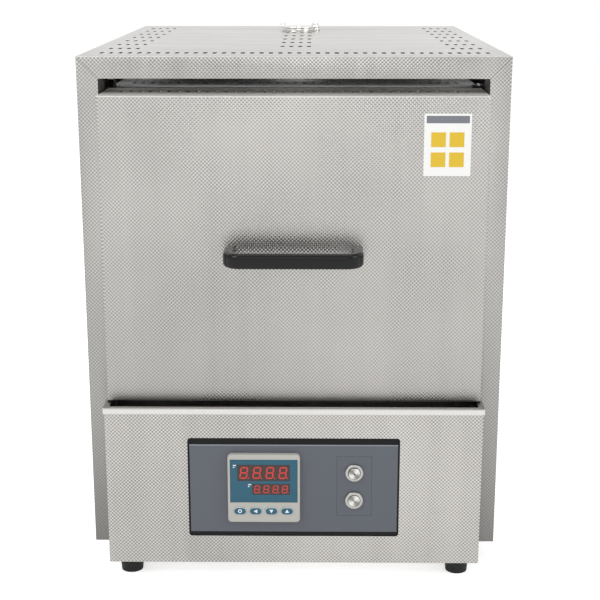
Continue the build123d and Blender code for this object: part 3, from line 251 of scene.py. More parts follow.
def steel_sheet(name, colour, roughness, emboss, grain=0.2, seam=None, low_shade=None, satin=0.0):
    """Stainless sheet with a fine diagonal linen emboss.

    Emboss is how strongly the linen dots and the fine sparkle show in the colour, as painted shade and
    glints of the relief; grain is the strength of its upright streaks, seam the half width and the height of
    the opening that its mitres start from, and low_shade the heights between which its front faces are
    painted darker, a painted dark reflection of the low room, with the strength of that. Satin dulls the
    faces that look up.
    """
    finish = Finish(name, colour, roughness, 1.0)
    x, y, z = finish.place()
    facing_x, facing_y, facing_z = [abs(part) for part in finish.axes("Normal")]
    sideways = facing_x > 0.5
    upwards = facing_z > 0.5
    u = x * (1.0 - sideways) + y * sideways
    v = z * (1.0 - upwards) + y * upwards
    step = 2.0 * pi / linen_pitch
    dots = (u * step).maths("SINE") * (v * step).maths("SINE") * (1.0 - upwards)
    cloud = finish.noise(7.0, 3.0)
    patches = finish.noise(2.4, 2.0)
    streaks = finish.noise(60.0, 2.0, (1.0, 1.0, 0.02))
    sparkle = finish.noise(1300.0, 1.0)
    # The broad patches are painted reflections of the room, the cloud is random tone and the streaks are the
    # brushed grain; the linen dots and the fine sparkle in the tone are painted shade and glints of the
    # emboss
    patchy_tone = cloud * 0.35 + patches * 0.65 + (streaks - 0.5) * grain
    shade = patchy_tone + dots * emboss + (sparkle - 0.5) * emboss * 0.5
    dark = tuple(c * 0.50 for c in colour)
    light = tuple(min(c * 1.45, 1.0) for c in colour)
    # Faces that look up are painted lighter: painted light from above
    tone = finish.blend(finish.ramp(shade + upwards * 0.3, 0.0, 1.0), dark, light)
    if low_shade:
        # Front faces are painted darker towards the floor: a painted dark reflection of the low room
        low, high, strength = low_shade
        low_shade_mask = (1.0 - finish.ramp(z, low, high)) * (facing_y > 0.5) * strength
        tone = finish.blend(low_shade_mask, tone, tuple(c * 0.22 for c in colour))
    if seam:
        # The mitre seam runs outwards at 45 degrees from each top corner of the opening
        half, top = seam
        off = abs((abs(x) - half) - (z - top))
        corner = (abs(x) > half) * (z > top) * (facing_y > 0.5)
        tone = finish.blend((off < seam_width) * corner * 0.75, tone, (0.10, 0.10, 0.10))
    finish.set("Base Color", tone)
    finish.set("Roughness", roughness + (cloud - 0.5) * 0.12 + upwards * satin * 0.3)
    finish.set("Metallic", 1.0 - upwards * satin)
    finish.bump(dots, linen_height, 0.7)
    return finish


plain_steel = steel_sheet("base_steel", (0.46, 0.452, 0.44), 0.38, 0.0)
dress(plain_steel, "base_tray", "deck_plate")
soften("base_tray", 0.25)
soften("deck_plate", 0.3)

# Front panel and rest lip. The panel is embossed stainless bent back round the base; the lip on its top
# edge is bright polished strip that the open door comes to rest on.
dress(steel_sheet("panel_steel", (0.365, 0.355, 0.338), 0.32, 0.60), "front_panel")
dress(mottled("lip_steel", (0.52, 0.512, 0.495), 0.22, 1.0, grain=300.0, spread=0.06), "door_rest_lip")
smooth("front_panel")
soften("door_rest_lip", 0.25)

# Electrical parts on the tray floor. The power relay lies on an extruded aluminium heat sink. The moulded
# terminal block stands near the black nylon gland that a mains lead would come through.
dress(mottled("sink_aluminium", (0.70, 0.70, 0.71), 0.36, 1.0, grain=400.0), "heat_sink")
dress(mottled("relay_plastic", (0.62, 0.61, 0.56), 0.45), "power_relay")
dress(mottled("terminal_plastic", (0.05, 0.05, 0.055), 0.5), "terminal_block")
dress(mottled("gland_nylon", (0.022, 0.022, 0.024), 0.42, grain=1200.0), "cable_gland", "gland_locknut")
soften("heat_sink", 0.25)
soften("terminal_block", 0.4)
smooth("power_relay", "cable_gland")
soften("gland_locknut", 0.4)

# Control panel. A slate-grey printed fascia sheet lies on a black backing plate behind the window of the
# front panel. A thin etched frame goes round the two push-buttons.
panel_black = mottled("panel_black", (0.006, 0.006, 0.007), 0.35)
panel_black.set("Specular IOR Level", 0.15)
dress(panel_black, "control_backing")
fascia_high = corners("control_fascia")[1]
ring_low, ring_high = corners("button_bodies")
etch_half = Vector((17.3, 0.0, 31.5))
etch_line = 0.35
highlight_band = 1.1
fascia_grey = (0.080, 0.090, 0.108)
etch_dark = (0.045, 0.052, 0.064)
highlight_grey = (0.20, 0.22, 0.25)
fascia = Finish("fascia_grey", fascia_grey, 0.42)
x, y, z = fascia.place()
etch_x = abs(x - (ring_low.x + ring_high.x) / 2) - etch_half.x
etch_z = abs(z - (ring_low.z + ring_high.z) / 2) - etch_half.z
etched = abs(etch_x.maths("MAXIMUM", etch_z)) < etch_line
# A band along the fascia's top edge is painted light grey: a painted highlight where the edge catches the
# light
painted_top_highlight = z > (fascia_high.z - highlight_band)
grain = fascia.noise(1200.0, 3.0)
tint = fascia.blend(grain, tuple(c * 0.9 for c in fascia_grey), tuple(c * 1.1 for c in fascia_grey))
fascia.set("Base Color", fascia.blend(etched, fascia.blend(painted_top_highlight, tint, highlight_grey), etch_dark))
fascia.bump(grain, 0.02, 0.5)
dress(fascia, "control_fascia")
soften("control_backing", 0.3)


# Temperature controller. A moulded case goes through the fascia behind a beige bezel. Its blue face plate
# holds two red displays, and four rubbery keys come through the bezel below them.
def raised(name, outlines, base, height, finish, body):
    """Thin flat shapes that stand forward from the plane at y = base, by their x, z outlines in mm."""
    shapes = bmesh.new()
    for outline in outlines:
        fronts = [shapes.verts.new(Vector((px, base - height, pz)) * MM) for px, pz in outline]
        backs = [shapes.verts.new(Vector((px, base, pz)) * MM) for px, pz in outline]
        shapes.faces.new(fronts)
        shapes.faces.new(list(reversed(backs)))
        for i in range(len(outline)):
            j = (i + 1) % len(outline)
            shapes.faces.new((fronts[i], backs[i], backs[j], fronts[j]))
    bmesh.ops.recalc_face_normals(shapes, faces=shapes.faces)
    mesh = bpy.data.meshes.new(name)
    shapes.to_mesh(mesh)
    shapes.free()
    return added(name, mesh, finish, body)


def added(name, mesh, finish, body):
    """Place a new mesh in the scene as a piece that rides on a body."""
    mesh.materials.clear()
    mesh.materials.append(finish.material)
    piece = bpy.data.objects.new(name, mesh)
    bpy.context.scene.collection.objects.link(piece)
    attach(piece, body)
    return piece


def bar(left, right, bottom, top):
    """The outline of a rectangle."""
    return [(left, bottom), (right, bottom), (right, top), (left, top)]


def disc(centre_x, centre_z, radius, sides=20):
    """The outline of a disc, as a polygon."""
    turns = [2.0 * pi * i / sides for i in range(sides)]
    return [(centre_x + radius * cos(turn), centre_z + radius * sin(turn)) for turn in turns]


def digit(left, bottom, width, height, stroke, slant=0.12):
    """The seven strokes and the point of one lit display digit."""
    half = stroke / 2
    gap = stroke * 0.12
    right, middle, top = left + width, bottom + height / 2, bottom + height
    strokes = []
    for level in (bottom + half, middle, top - half):
        a, b = left + half + gap, right - half - gap
        strokes.append([(a, level), (a + half, level + half), (b - half, level + half),
                        (b, level), (b - half, level - half), (a + half, level - half)])
    for column in (left + half, right - half):
        for low, high in ((bottom + half, middle), (middle, top - half)):
            a, b = low + gap, high - gap
            strokes.append([(column, a), (column + half, a + half), (column + half, b - half),
                            (column, b), (column - half, b - half), (column - half, a + half)])
    strokes.append(bar(right + stroke * 0.5, right + stroke * 1.5, bottom, bottom + stroke))
    return [[(px + slant * (pz - bottom), pz) for px, pz in stroke_line] for stroke_line in strokes]


dress(mottled("case_plastic", (0.03, 0.03, 0.032), 0.5), "controller_case")
dress(mottled("bezel_beige", (0.42, 0.412, 0.38), 0.36, grain=1300.0, spread=0.05), "controller_bezel")
dress(mottled("face_blue", (0.002, 0.078, 0.128), 0.34, grain=1300.0, spread=0.06), "controller_face")
dress(Finish("display_glass", (0.030, 0.010, 0.009), 0.16), "display_windows")
soften("controller_face", 0.15)
smooth("controller_bezel", "controller_case")

glass_low, glass_high = corners("display_windows")
face_low = corners("controller_face")[0]
display_heights = {"upper": 16.8, "lower": 11.1}
display_widths = {"upper": 51.7, "lower": 36.9}
display_floors = {"upper": glass_high.z - display_heights["upper"], "lower": glass_low.z}
digits_per_row = 4
digit_proud = 0.06
digit_width_share = 0.60
digit_height_share = 0.74
digit_left_share = 0.12
digit_floor_share = 0.13
digit_stroke_share = 0.105
lit_red = Finish("lit_red", (0.30, 0.015, 0.01), 0.5, emission_color=(0.34, 0.022, 0.012, 1.0))
lit_red.set("Emission Strength", 1.0)
digit_strokes = []
for row in ("upper", "lower"):
    cell = display_widths[row] / digits_per_row
    wide = cell * digit_width_share
    tall = display_heights[row] * digit_height_share
    for place in range(digits_per_row):
        digit_left = glass_high.x - display_widths[row] + place * cell + cell * digit_left_share
        digit_floor = display_floors[row] + display_heights[row] * digit_floor_share
        digit_strokes += digit(digit_left, digit_floor, wide, tall, tall * digit_stroke_share)
raised("display_digits", digit_strokes, glass_low.y, digit_proud, lit_red, "cabinet")

# Printed marks on the face plate: plain short bars where the real one has its wording
mark_white = mottled("mark_white", (0.78, 0.80, 0.80), 0.5, spread=0.03)
mark_width = 3.2
mark_height = 1.0
mark_gap = 1.4
print_height = 0.05
upper_left = glass_high.x - display_widths["upper"]
lower_left = glass_high.x - display_widths["lower"]
lower_top = glass_low.z + display_heights["lower"]
marks = []
for mark_right, mark_top in ((upper_left - mark_gap, glass_high.z), (lower_left - mark_gap, lower_top)):
    mark_left = mark_right - mark_width
    mark_middle = mark_right - mark_width / 2
    marks.append(bar(mark_left, mark_right, mark_top - mark_height, mark_top))
    marks.append(bar(mark_left, mark_middle, mark_top - 3 * mark_height, mark_top - 2 * mark_height))
raised("face_marks", marks, face_low.y, print_height, mark_white, "cabinet")

# Keys: an oval blue key with a white ring printed round its rim, and a plain symbol on it
key_rim = 0.3
key_ring_depth = 0.8
key_blue = (0.003, 0.085, 0.140)
key_ring_white = (0.72, 0.74, 0.74)
symbol_size = 2.0
arrow_base = symbol_size * 0.8
loop_outer = disc(0.0, 0.0, symbol_size)
loop_inner = disc(0.0, 0.0, symbol_size * 0.55)
loop_steps = len(loop_outer)
loop = [[loop_outer[i], loop_outer[(i + 1) % loop_steps], loop_inner[(i + 1) % loop_steps], loop_inner[i]]
        for i in range(loop_steps)]
symbols = {
    "key_set": loop,
    "key_shift": [[(-symbol_size, 0.0), (arrow_base, -symbol_size), (arrow_base, symbol_size)]],
    "key_down": [[(0.0, -symbol_size), (symbol_size, arrow_base), (-symbol_size, arrow_base)]],
    "key_up": [[(0.0, symbol_size), (-symbol_size, -arrow_base), (symbol_size, -arrow_base)]],
}
for name, outlines in symbols.items():
    key_low, key_high = corners(name)
    centre = (key_low + key_high) / 2
    radius = (key_high.z - key_low.z) / 2
    straight = (key_high.x - key_low.x) / 2 - radius
    key_finish = Finish(name + "_blue", key_blue, 0.38)
    x, y, z = key_finish.place()
    reach_x = (abs(x - centre.x) - straight).maths("MAXIMUM", 0.0)
    reach = (reach_x * reach_x + (z - centre.z) * (z - centre.z)).maths("SQRT")
    ringed = (reach > radius - key_rim) * (y < key_low.y + key_ring_depth)
    key_finish.set("Base Color", key_finish.blend(ringed, key_blue, key_ring_white))
    key_finish.bump(key_finish.noise(1500.0), 0.02, 0.5)
    dress(key_finish, name)
    smooth(name)
    placed = [[(centre.x + px, centre.z + pz) for px, pz in outline] for outline in outlines]
    raised(name + "_symbol", placed, key_low.y, print_height, mark_white, name)

# Push-buttons. Each has a turned and polished metal ring round a spun metal cap; the upper cap stands
# proud, with a small dark lamp in its centre, and a nut behind the backing plate holds each body.
turned = mottled("button_metal", (0.36, 0.352, 0.335), 0.20, 1.0, grain=300.0, spread=0.05)
dress(turned, "button_bodies")
button_edge = 5.85
dress(zinc, "button_nuts")
for name, lamp_radius in (("start_button", 0.95), ("stop_button", 0.0)):
    cap_low, cap_high = corners(name)
    centre = (cap_low + cap_high) / 2
    cap = Finish(name + "_metal", (0.45, 0.44, 0.42), 0.26, 1.0)
    x, y, z = cap.place()
    away = ((x - centre.x) * (x - centre.x) + (z - centre.z) * (z - centre.z)).maths("SQRT")
    rings = (away * 14.0).maths("SINE")
    # A diagonal band across the cap is painted lighter: a painted sheen of the spun metal; the fine rings
    # are its turning marks
    slope = (x - centre.x) + (z - centre.z)
    painted_sheen = slope * slope / (away * away * 2.0 + 0.6)
    # The cap's outer edge is painted near black: painted shade in the gap between cap and ring
    gap_shade = away > button_edge
    rings_and_sheen = cap.blend(rings * 0.15 + painted_sheen, (0.16, 0.155, 0.148), (0.62, 0.61, 0.58))
    # The dark lamp dot and the painted gap shade share this one mask
    lamp = (away < lamp_radius).maths("MAXIMUM", gap_shade)
    cap.set("Base Color", cap.blend(lamp, rings_and_sheen, (0.02, 0.02, 0.02)))
    cap.set("Metallic", 1.0 - lamp)
    cap.bump(rings, 0.02, 0.4)
    dress(cap, name)
    smooth(name)
smooth("button_bodies")
soften("button_nuts", 0.4)

# Outer casing and rear panel. The casing is one folded stainless shell with a mitred front frame; the
# rear panel is screwed to its flanges and has two stacks of pressed louvres.
door_side_gap = 1.5
frame_rail = 21.0
opening_half = corners("door_skin")[1].x + door_side_gap
opening_top = casing_high.z - frame_rail
casing_seam = (opening_half, opening_top)
# The uprights' front faces are painted darker low down: a painted dark reflection of the low room
upright_low_shade = (-60.0, 440.0, 0.9)
casing_grey = (0.41, 0.402, 0.386)
casing_steel = steel_sheet("casing_steel", casing_grey, 0.30, 0.42, 0.25, casing_seam, upright_low_shade)
dress(casing_steel, "outer_casing")
dress(plain_steel, "rear_panel")
soften("outer_casing", 0.9, 3)
soften("rear_panel", 0.3)


# Pan-head screws. Cross-recessed steel screws hold the rear panel, and one more holds the door sensor.
def lathe(name, profile, sides=20):
    """A turned solid about Z from its radius, height profile in millimetres."""
    turned_mesh = bmesh.new()
    rings = []
    turns = [2.0 * pi * i / sides for i in range(sides)]
    for radius, height in profile:
        spots = [Vector((radius * cos(turn), radius * sin(turn), height)) * MM for turn in turns]
        rings.append([turned_mesh.verts.new(spot) for spot in spots])
    for lower, upper in zip(rings, rings[1:]):
        for i in range(sides):
            j = (i + 1) % sides
            turned_mesh.faces.new((lower[i], lower[j], upper[j], upper[i]))
    turned_mesh.faces.new(list(reversed(rings[0])))
    turned_mesh.faces.new(rings[-1])
    mesh = bpy.data.meshes.new(name)
    turned_mesh.to_mesh(mesh)
    turned_mesh.free()
    return mesh


def baked(piece):
    """The mesh that a piece's modifiers make, as a plain mesh."""
    bpy.context.view_layer.update()
    shape = piece.evaluated_get(bpy.context.evaluated_depsgraph_get())
    return bpy.data.meshes.new_from_object(shape)


screw_radius = 4.0
screw_height = 2.2
recess_depth = 1.3
recess_arm = 2.1
recess_width = 0.75
head_profile = [(screw_radius, 0.0), (screw_radius, screw_height * 0.4),
                (screw_radius * 0.86, screw_height * 0.78), (screw_radius * 0.55, screw_height)]
head = bpy.data.objects.new("screw_head", lathe("screw_head", head_profile))
bpy.context.scene.collection.objects.link(head)
cutters = []
for arm_x, arm_y in ((recess_arm, recess_width / 2), (recess_width / 2, recess_arm)):
    cut = bmesh.new()
    size = Vector((2 * arm_x, 2 * arm_y, 2 * recess_depth)) * MM
    at_top = Matrix.Translation((0, 0, screw_height * MM))
    bmesh.ops.create_cube(cut, size=1.0, matrix=at_top @ Matrix.Diagonal((*size, 1.0)))
    cut_mesh = bpy.data.meshes.new("recess")
    cut.to_mesh(cut_mesh)
    cut.free()
    cutter = bpy.data.objects.new("recess", cut_mesh)
    bpy.context.scene.collection.objects.link(cutter)
    cutters.append(cutter)
    boolean = head.modifiers.new("recess", "BOOLEAN")
    boolean.operation = "DIFFERENCE"
    boolean.object = cutter
head_mesh = baked(head)
for scrap in cutters + [head]:
    bpy.data.objects.remove(scrap)


def geometry_tree(name, sizes):
    """A Geometry Nodes tree with named number inputs and one geometry output."""
    tree = bpy.data.node_groups.new(name, "GeometryNodeTree")
    sockets = {}
    for label, kind in sizes.items():
        socket_type = "NodeSocket" + kind
        sockets[label] = tree.interface.new_socket(name=label, in_out="INPUT", socket_type=socket_type)
    tree.interface.new_socket(name="Geometry", in_out="OUTPUT", socket_type="NodeSocketGeometry")
    given = tree.nodes.new("NodeGroupInput")
    result = tree.nodes.new("NodeGroupOutput")

    def node(kind, inputs=(), output=0, **settings):
        made = tree.nodes.new(kind)
        for setting, value in settings.items():
            setattr(made, setting, value)
        for key, value in dict(inputs).items():
            if isinstance(value, str):
                value = given.outputs[value]
            if isinstance(value, bpy.types.NodeSocket):
                tree.links.new(value, made.inputs[key])
            else:
                made.inputs[key].default_value = value
        return made.outputs[output]

    def close(geometry):
        whole = node("GeometryNodeRealizeInstances", {"Geometry": geometry})
        painted = node("GeometryNodeSetMaterial", {"Geometry": whole, "Material": "Finish"})
        tree.links.new(painted, result.inputs[0])

    return tree, node, close, sockets


def two_columns(node, rows, depth):
    """Points in two upright columns, Across apart and Up high, at this depth into the furnace."""
    grid_size = {"Size X": "Across", "Size Y": "Up", "Vertices X": 2, "Vertices Y": rows}
    flat = node("GeometryNodeMeshGrid", grid_size)
    spot = node("ShaderNodeCombineXYZ", {"Y": depth, "Z": "Middle"})
    stood = {"Geometry": flat, "Translation": spot, "Rotation": (pi / 2, 0, 0)}
    return node("GeometryNodeTransform", stood)


def grown(name, tree, sockets, values, finish):
    """The mesh that a Geometry Nodes tree makes from these input values."""
    host = bpy.data.objects.new(name, bpy.data.meshes.new(name))
    bpy.context.scene.collection.objects.link(host)
    modifier = host.modifiers.new(name, "NODES")
    modifier.node_group = tree
    for label, value in values.items():
        modifier[sockets[label].identifier] = value
    modifier[sockets["Finish"].identifier] = finish.material
    mesh = baked(host)
    bpy.data.objects.remove(host)
    return mesh


screws_low, screws_high = corners("pan_screws")
sensor_low, sensor_high = corners("door_sensor")
screw_tree, node, close, sockets = geometry_tree("screw_grid", {
    "Across": "Float", "Up": "Float", "Rows": "Int", "Depth": "Float", "Middle": "Float",
    "Screw": "Object", "Finish": "Material",
})
columns = two_columns(node, "Rows", "Depth")
shape = node("GeometryNodeObjectInfo", {"Object": "Screw"}, 4)
rearwards = (-pi / 2, 0.0, 0.0)
close(node("GeometryNodeInstanceOnPoints", {"Points": columns, "Instance": shape, "Rotation": rearwards}))
master = bpy.data.objects.new("screw_master", head_mesh)
bpy.context.scene.collection.objects.link(master)
screw_rows = 4
rear_flange = 14.0
casing_sheet = 1.5
screw_low_z = screws_low.z + screw_radius
casing_screw_top = casing_high.z - rear_flange / 2 - casing_sheet
screw_mesh = grown("rear_screws", screw_tree, sockets, {
    "Across": (screws_high.x - screws_low.x - 2 * screw_radius) * MM,
    "Up": (casing_screw_top - screw_low_z) * MM,
    "Rows": screw_rows,
    "Depth": (screws_high.y - screw_height) * MM,
    "Middle": (casing_screw_top + screw_low_z) / 2 * MM,
    "Screw": master,
}, zinc)
rear_screws = added("rear_screws", screw_mesh, zinc, "cabinet")
sensor_mesh = head_mesh.copy()
sensor_spot = (sensor_low + sensor_high) / 2
sensor_mesh.transform(Matrix.Translation(Vector((sensor_spot.x, sensor_spot.y, sensor_high.z)) * MM))
sensor_screw = added("sensor_screw", sensor_mesh, zinc, "cabinet")
bpy.data.objects.remove(master)
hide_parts("pan_screws")
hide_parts("pan_screws")

# Inner housing. A second folded steel shell stands inside the casing round the insulation, with its own
# front and rear plates, a rolled front edge and a row of slots.
housing_steel = steel_sheet("housing_steel", (0.72, 0.71, 0.70), 0.34, 0.0, satin=0.7)
dress(housing_steel, "housing_shell", "housing_front_plate", "housing_rear_plate")
soften("housing_shell", 0.4)
smooth("housing_front_plate", "housing_rear_plate")


# Insulation and hearth. Boards of pressed ceramic fibre are cut to size and stacked round the chamber, a
# fibre collar frames its mouth, and a fired tile lies on its floor.
def fibre(name, colour, tufts=260.0, depth=0.5):
    """Pressed ceramic fibre: matt, with short matted strands and faint scorching."""
    finish = Finish(name, colour, 0.95)
    strands = finish.noise(tufts, 6.0, (1.0, 1.0, 2.2))
    pits = finish.noise(tufts * 4, 3.0)
    scorch = finish.noise(9.0, 3.0)
    warm = (colour[0] * 0.93, colour[1] * 0.86, colour[2] * 0.74)
    aged = finish.blend(finish.ramp(scorch, 0.45, 0.8), colour, warm)
    shaded = tuple(c * 0.84 for c in colour)
    finish.set("Base Color", finish.blend(finish.ramp(strands, 0.35, 0.6), shaded, aged))
    finish.bump(strands * 0.7 + pits * 0.3, depth, 0.7)
    return finish


board_fibre = fibre("board_fibre", (0.80, 0.79, 0.75))
dress(board_fibre, "insulation_boards", "roof_insulation", "rear_insulation", "chamber_collar")
dress(mottled("hearth_tile", (0.50, 0.46, 0.40), 0.75, grain=500.0, spread=0.2, depth=0.2), "floor_tile")
soften("chamber_collar", 1.0, 3)

# Heating plates, coils and thermocouple. Coiled resistance wire lies in the grooves of two cast ceramic
# plates, runs to and fro six times a side and leaves through the rear wall beside a ceramic sheath.
kiln_ceramic = mottled("kiln_ceramic", (0.74, 0.70, 0.62), 0.85, grain=420.0, spread=0.1, depth=0.25)
dress(kiln_ceramic, "heating_plates")
dress(mottled("sheath_ceramic", (0.80, 0.78, 0.72), 0.45), "thermocouple")
smooth("thermocouple")
wire_finish = mottled("element_wire", (0.17, 0.145, 0.125), 0.55, 0.6, grain=600.0, spread=0.3)
coils_low, coils_high = corners("heating_elements")
plates_low, plates_high = corners("heating_plates")
runs = 6
coil_radius = 3.0
wire_radius = 0.65
coil_turns = 58
end_margin = 14.0
side_distance = (coils_high.x - coils_low.x) - 2 * coil_radius
run_span = (coils_high.z - coils_low.z) - 2 * coil_radius
run_pitch = run_span / (runs - 1)
coil_floor = coils_low.z + coil_radius
coil_start = coils_low.y + coil_radius + end_margin
coil_end = plates_high.y - (coils_low.y - plates_low.y) - coil_radius - end_margin
coil_tree, node, close, sockets = geometry_tree("heating_coils", {
    "Turns": "Float", "Coil": "Float", "Length": "Float", "Wire": "Float", "Across": "Float",
    "Up": "Float", "Runs": "Int", "Start": "Float", "Middle": "Float", "Finish": "Material",
})
spiral = node("GeometryNodeCurveSpiral", {
    "Resolution": 10, "Rotations": "Turns", "Height": "Length", "Start Radius": "Coil", "End Radius": "Coil",
})
section = node("GeometryNodeCurvePrimitiveCircle", {"Resolution": 5, "Radius": "Wire"})
wire = node("GeometryNodeCurveToMesh", {"Curve": spiral, "Profile Curve": section, "Fill Caps": True})
columns = two_columns(node, "Runs", "Start")
close(node("GeometryNodeInstanceOnPoints", {"Points": columns, "Instance": wire, "Rotation": rearwards}))
coil_mesh = grown("heating_coils", coil_tree, sockets, {
    "Turns": float(coil_turns),
    "Coil": (coil_radius - wire_radius) * MM,
    "Length": (coil_end - coil_start) * MM,
    "Wire": wire_radius * MM,
    "Across": side_distance * MM,
    "Up": run_span * MM,
    "Runs": runs,
    "Start": coil_start * MM,
    "Middle": (coil_floor + run_span / 2) * MM,
}, wire_finish)

# The wire turns back at each end of a run in a half circle, and its two ends run out to the rear
bend_steps = 10
bend_radius = run_pitch / 2
links = bpy.data.curves.new("coil_links", "CURVE")
links.dimensions = "3D"
links.bevel_depth = wire_radius * 1.3 * MM
links.bevel_resolution = 2
for side in (-1, 1):
    link_x = side * side_distance / 2
    paths = []
    for run in range(runs - 1):
        bend_y, way = (coil_start, -1) if run % 2 == 0 else (coil_end, 1)
        middle = coil_floor + (run + 0.5) * run_pitch
        turns = [pi * i / bend_steps for i in range(bend_steps + 1)]
        depths = [bend_y + way * bend_radius * sin(turn) for turn in turns]
        levels = [middle - bend_radius * cos(turn) for turn in turns]
        paths.append([(link_x, depth, level) for depth, level in zip(depths, levels)])
    for level in (coil_floor, coil_floor + run_span):
        paths.append([(link_x, coil_end, level), (link_x, coils_high.y, level)])
    for path in paths:
        spline = links.splines.new("POLY")
        spline.points.add(len(path) - 1)
        for point, spot in zip(spline.points, path):
            point.co = (*(Vector(spot) * MM), 1.0)
link_piece = bpy.data.objects.new("coil_links", links)
bpy.context.scene.collection.objects.link(link_piece)
joined = bmesh.new()
joined.from_mesh(coil_mesh)
joined.from_mesh(baked(link_piece))
joined.to_mesh(coil_mesh)
joined.free()
bpy.data.objects.remove(link_piece)
for face in coil_mesh.polygons:
    face.use_smooth = True
coils = added("heating_coils", coil_mesh, wire_finish, "cabinet")
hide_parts("heating_elements")

# Exhaust. A ceramic tube leads up through the casing to a pressed flange, and a stamped cover with a
# domed middle swings aside on a shoulder screw, pushed by its wire eye.
dress(mottled("duct_ceramic", (0.72, 0.69, 0.62), 0.8, depth=0.2), "exhaust_duct")
cover_steel = mottled("cover_steel", (0.72, 0.71, 0.69), 0.24, 1.0, grain=350.0, spread=0.10)
dress(cover_steel, "exhaust_flange", "exhaust_cover", "cover_pivot", "cover_eye")
soften("exhaust_flange", 0.3)
soften("exhaust_cover", 0.3)
smooth("cover_pivot", "cover_eye", "exhaust_duct")

# Door. A deep pan of embossed stainless is closed by an inner sheet and filled with fibre board; a
# tapered fibre plug and a flat gasket on its back seal the chamber mouth.
door_grey = (0.47, 0.458, 0.438)
# The door's front is painted darker towards its foot: a painted dark reflection of the low room
door_low_shade = (150.0, 470.0, 0.52)
door_steel = steel_sheet("door_steel", door_grey, 0.28, 0.40, 0.15, low_shade=door_low_shade, satin=0.6)
dress(door_steel, "door_skin")
dress(plain_steel, "door_back")
dress(board_fibre, "door_insulation")
dress(fibre("plug_fibre", (0.82, 0.81, 0.77), 200.0, 0.7), "door_plug")
dress(fibre("gasket_fibre", (0.74, 0.72, 0.66), 420.0, 0.6), "door_gasket")
smooth("door_skin")
soften("door_gasket", 1.2, 3)
smooth("door_plug", "door_back")

# Label place at the door's upper right: a plain white sticker with a grey head strip and four amber squares
door_low = corners("door_skin")[0]
label_left = 123.3
label_right = 167.9
label_bottom = 410.8
label_top = 469.9
label_proud = 0.12
label_head = 9.0
label_margin = 2.0
label_print = 0.03
square = 14.0
square_across = square * 0.62
square_up = square * 0.68
sticker = mottled("sticker_white", (0.80, 0.80, 0.78), 0.42, spread=0.02, depth=0.01)
strip_grey = mottled("strip_grey", (0.16, 0.17, 0.19), 0.45, depth=0.01)
amber = mottled("square_amber", (0.66, 0.44, 0.02), 0.45, spread=0.05, depth=0.01)
label_outline = bar(label_left, label_right, label_bottom, label_top)
raised("door_label", [label_outline], door_low.y, label_proud, sticker, "door")
strip_bottom = label_top - label_head
strip_top = label_top - label_margin
strip = [bar(label_left + label_margin, label_right - label_margin, strip_bottom, strip_top)]
raised("label_strip", strip, door_low.y - label_proud, label_print, strip_grey, "door")
squares = []
for column in (-1, 1):
    for row in (-1, 1):
        square_left = (label_left + label_right) / 2 + column * square_across - square / 2
        square_floor = (label_bottom + strip_bottom) / 2 + row * square_up - square / 2
        squares.append(bar(square_left, square_left + square, square_floor, square_floor + square))
raised("label_squares", squares, door_low.y - label_proud, label_print, amber, "door")

# Handle. A bow of glossy black phenolic is held to the door by two screws from inside the pan.
handle_black = mottled("handle_plastic", (0.004, 0.004, 0.005), 0.14, grain=200.0, depth=0.01)
handle_black.set("Specular IOR Level", 0.22)
dress(handle_black, "door_handle")
dress(zinc, "handle_screws")
smooth("door_handle", angle=60.0)
smooth("handle_screws")

# Hinge. Steel pins fixed in blocks inside the door turn in flanged brass bushes, which are pressed into
# plates riveted behind the returns of the front frame.
hinge_steel = mottled("hinge_steel", (0.52, 0.51, 0.50), 0.34, 1.0, grain=400.0)
dress(hinge_steel, "hinge_blocks", "hinge_pins", "hinge_plates", "hinge_rivets")
dress(mottled("bush_brass", (0.72, 0.53, 0.24), 0.3, 1.0), "hinge_bushes")
soften("hinge_blocks", 0.6)
soften("hinge_plates", 0.5)
smooth("hinge_pins", "hinge_bushes", "hinge_rivets")

# Catch and sensor. A bent spring leaf at the left steadies the shut door, and a small switch body at the
# right is worked by a magnet on the door's back.
dress(cover_steel, "catch_leaf")
dress(mottled("sensor_plastic", (0.03, 0.03, 0.032), 0.45), "door_sensor")
dress(mottled("magnet_iron", (0.12, 0.12, 0.13), 0.4, 0.8), "door_magnet")
soften("catch_leaf", 0.2)
smooth("door_sensor")
soften("door_magnet", 0.5)

# Floor, lamps and room. White paper lies under the furnace; four large soft boxes and a plain pale room
# light it, the lowest of them from the front into the gap over the door.
floor_finish = Finish("white_paper", (0.86, 0.86, 0.86), 0.9)
path_node = floor_finish.tree.nodes.new("ShaderNodeLightPath")
rays = ("Is Camera Ray", "Is Glossy Ray", "Is Transmission Ray")
seen = [Value(floor_finish, path_node.outputs[ray]) for ray in rays]
shown = (seen[0] + seen[1] + seen[2]).maths("MINIMUM", 1.0)
lit_paper = Value(floor_finish, floor_finish.shader.outputs[0])
glow = floor_finish.add("ShaderNodeEmission", {"Color": (1.0, 1.0, 1.0, 1.0), "Strength": 0.5})
bright_paper = floor_finish.add("ShaderNodeAddShader", [lit_paper, glow])
mixed = floor_finish.add("ShaderNodeMixShader", [shown, lit_paper, bright_paper])
floor_finish.tree.links.new(mixed.socket, floor_finish.output.inputs[0])
floor_reach = 6.0
floor_mesh = bpy.data.meshes.new("floor")
floor_corners = [(across * floor_reach, back * floor_reach, 0.0)
                 for across, back in ((-1, -1), (1, -1), (1, 1), (-1, 1))]
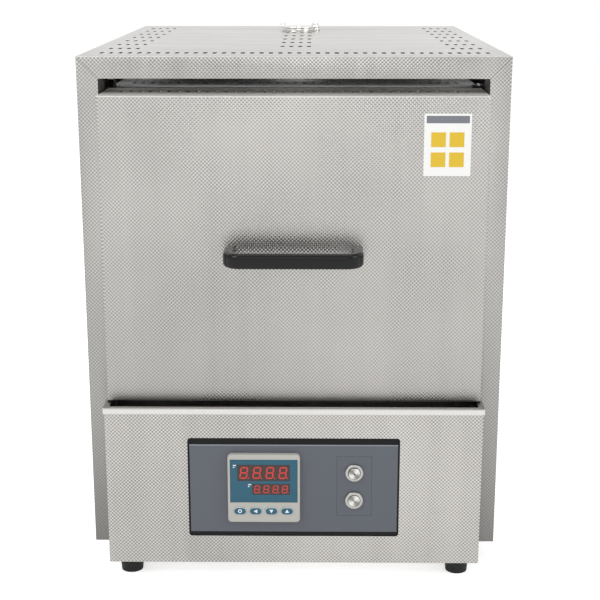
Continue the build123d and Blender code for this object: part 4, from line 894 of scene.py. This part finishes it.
floor_mesh.from_pydata(floor_corners, [], [(0, 1, 2, 3)])
floor_mesh.materials.append(floor_finish.material)
floor = bpy.data.objects.new("floor", floor_mesh)
bpy.context.scene.collection.objects.link(floor)

# The room looks white, in reflections too, and lights matt surfaces as a mid grey
room_grey = 0.62
world = bpy.data.worlds.new("room")
bpy.context.scene.world = world
world.use_nodes = True
sky = world.node_tree
background = sky.nodes["Background"]
background.inputs["Strength"].default_value = 1.0
sky_path = sky.nodes.new("ShaderNodeLightPath")
sky_mix = sky.nodes.new("ShaderNodeMix")
sky_mix.data_type = "RGBA"
sky_mix.inputs[6].default_value = (room_grey, room_grey, room_grey, 1.0)
sky_mix.inputs[7].default_value = (1.0, 1.0, 1.0, 1.0)
sky_seen = sky_path.outputs[rays[0]]
for ray in rays[1:]:
    either = sky.nodes.new("ShaderNodeMath")
    either.operation = "MAXIMUM"
    sky.links.new(sky_seen, either.inputs[0])
    sky.links.new(sky_path.outputs[ray], either.inputs[1])
    sky_seen = either.outputs[0]
sky.links.new(sky_seen, sky_mix.inputs["Factor"])
sky.links.new(sky_mix.outputs[2], background.inputs["Color"])


def soft_box(name, place, target, size, power):
    """A rectangular lamp that faces its target, with its size in metres and its power in watts."""
    lamp = bpy.data.lights.new(name, "AREA")
    lamp.shape = "RECTANGLE"
    lamp.size = size[0]
    lamp.size_y = size[1]
    lamp.energy = power
    box = bpy.data.objects.new(name, lamp)
    box.location = place
    box.rotation_euler = (Vector(target) - Vector(place)).to_track_quat("-Z", "Y").to_euler()
    bpy.context.scene.collection.objects.link(box)


soft_box("key_light", (-1.6, -1.8, 2.2), (0.0, 0.0, 0.25), (1.4, 1.4), 30.0)
soft_box("fill_light", (1.9, -1.2, 1.5), (0.0, 0.0, 0.25), (1.2, 1.6), 16.0)
soft_box("top_light", (0.0, 0.3, 2.4), (0.0, 0.0, 0.5), (1.6, 1.6), 14.0)
soft_box("front_light", (0.0, -2.4, 1.15), (0.0, -0.2, 0.49), (1.2, 0.5), 5.0)
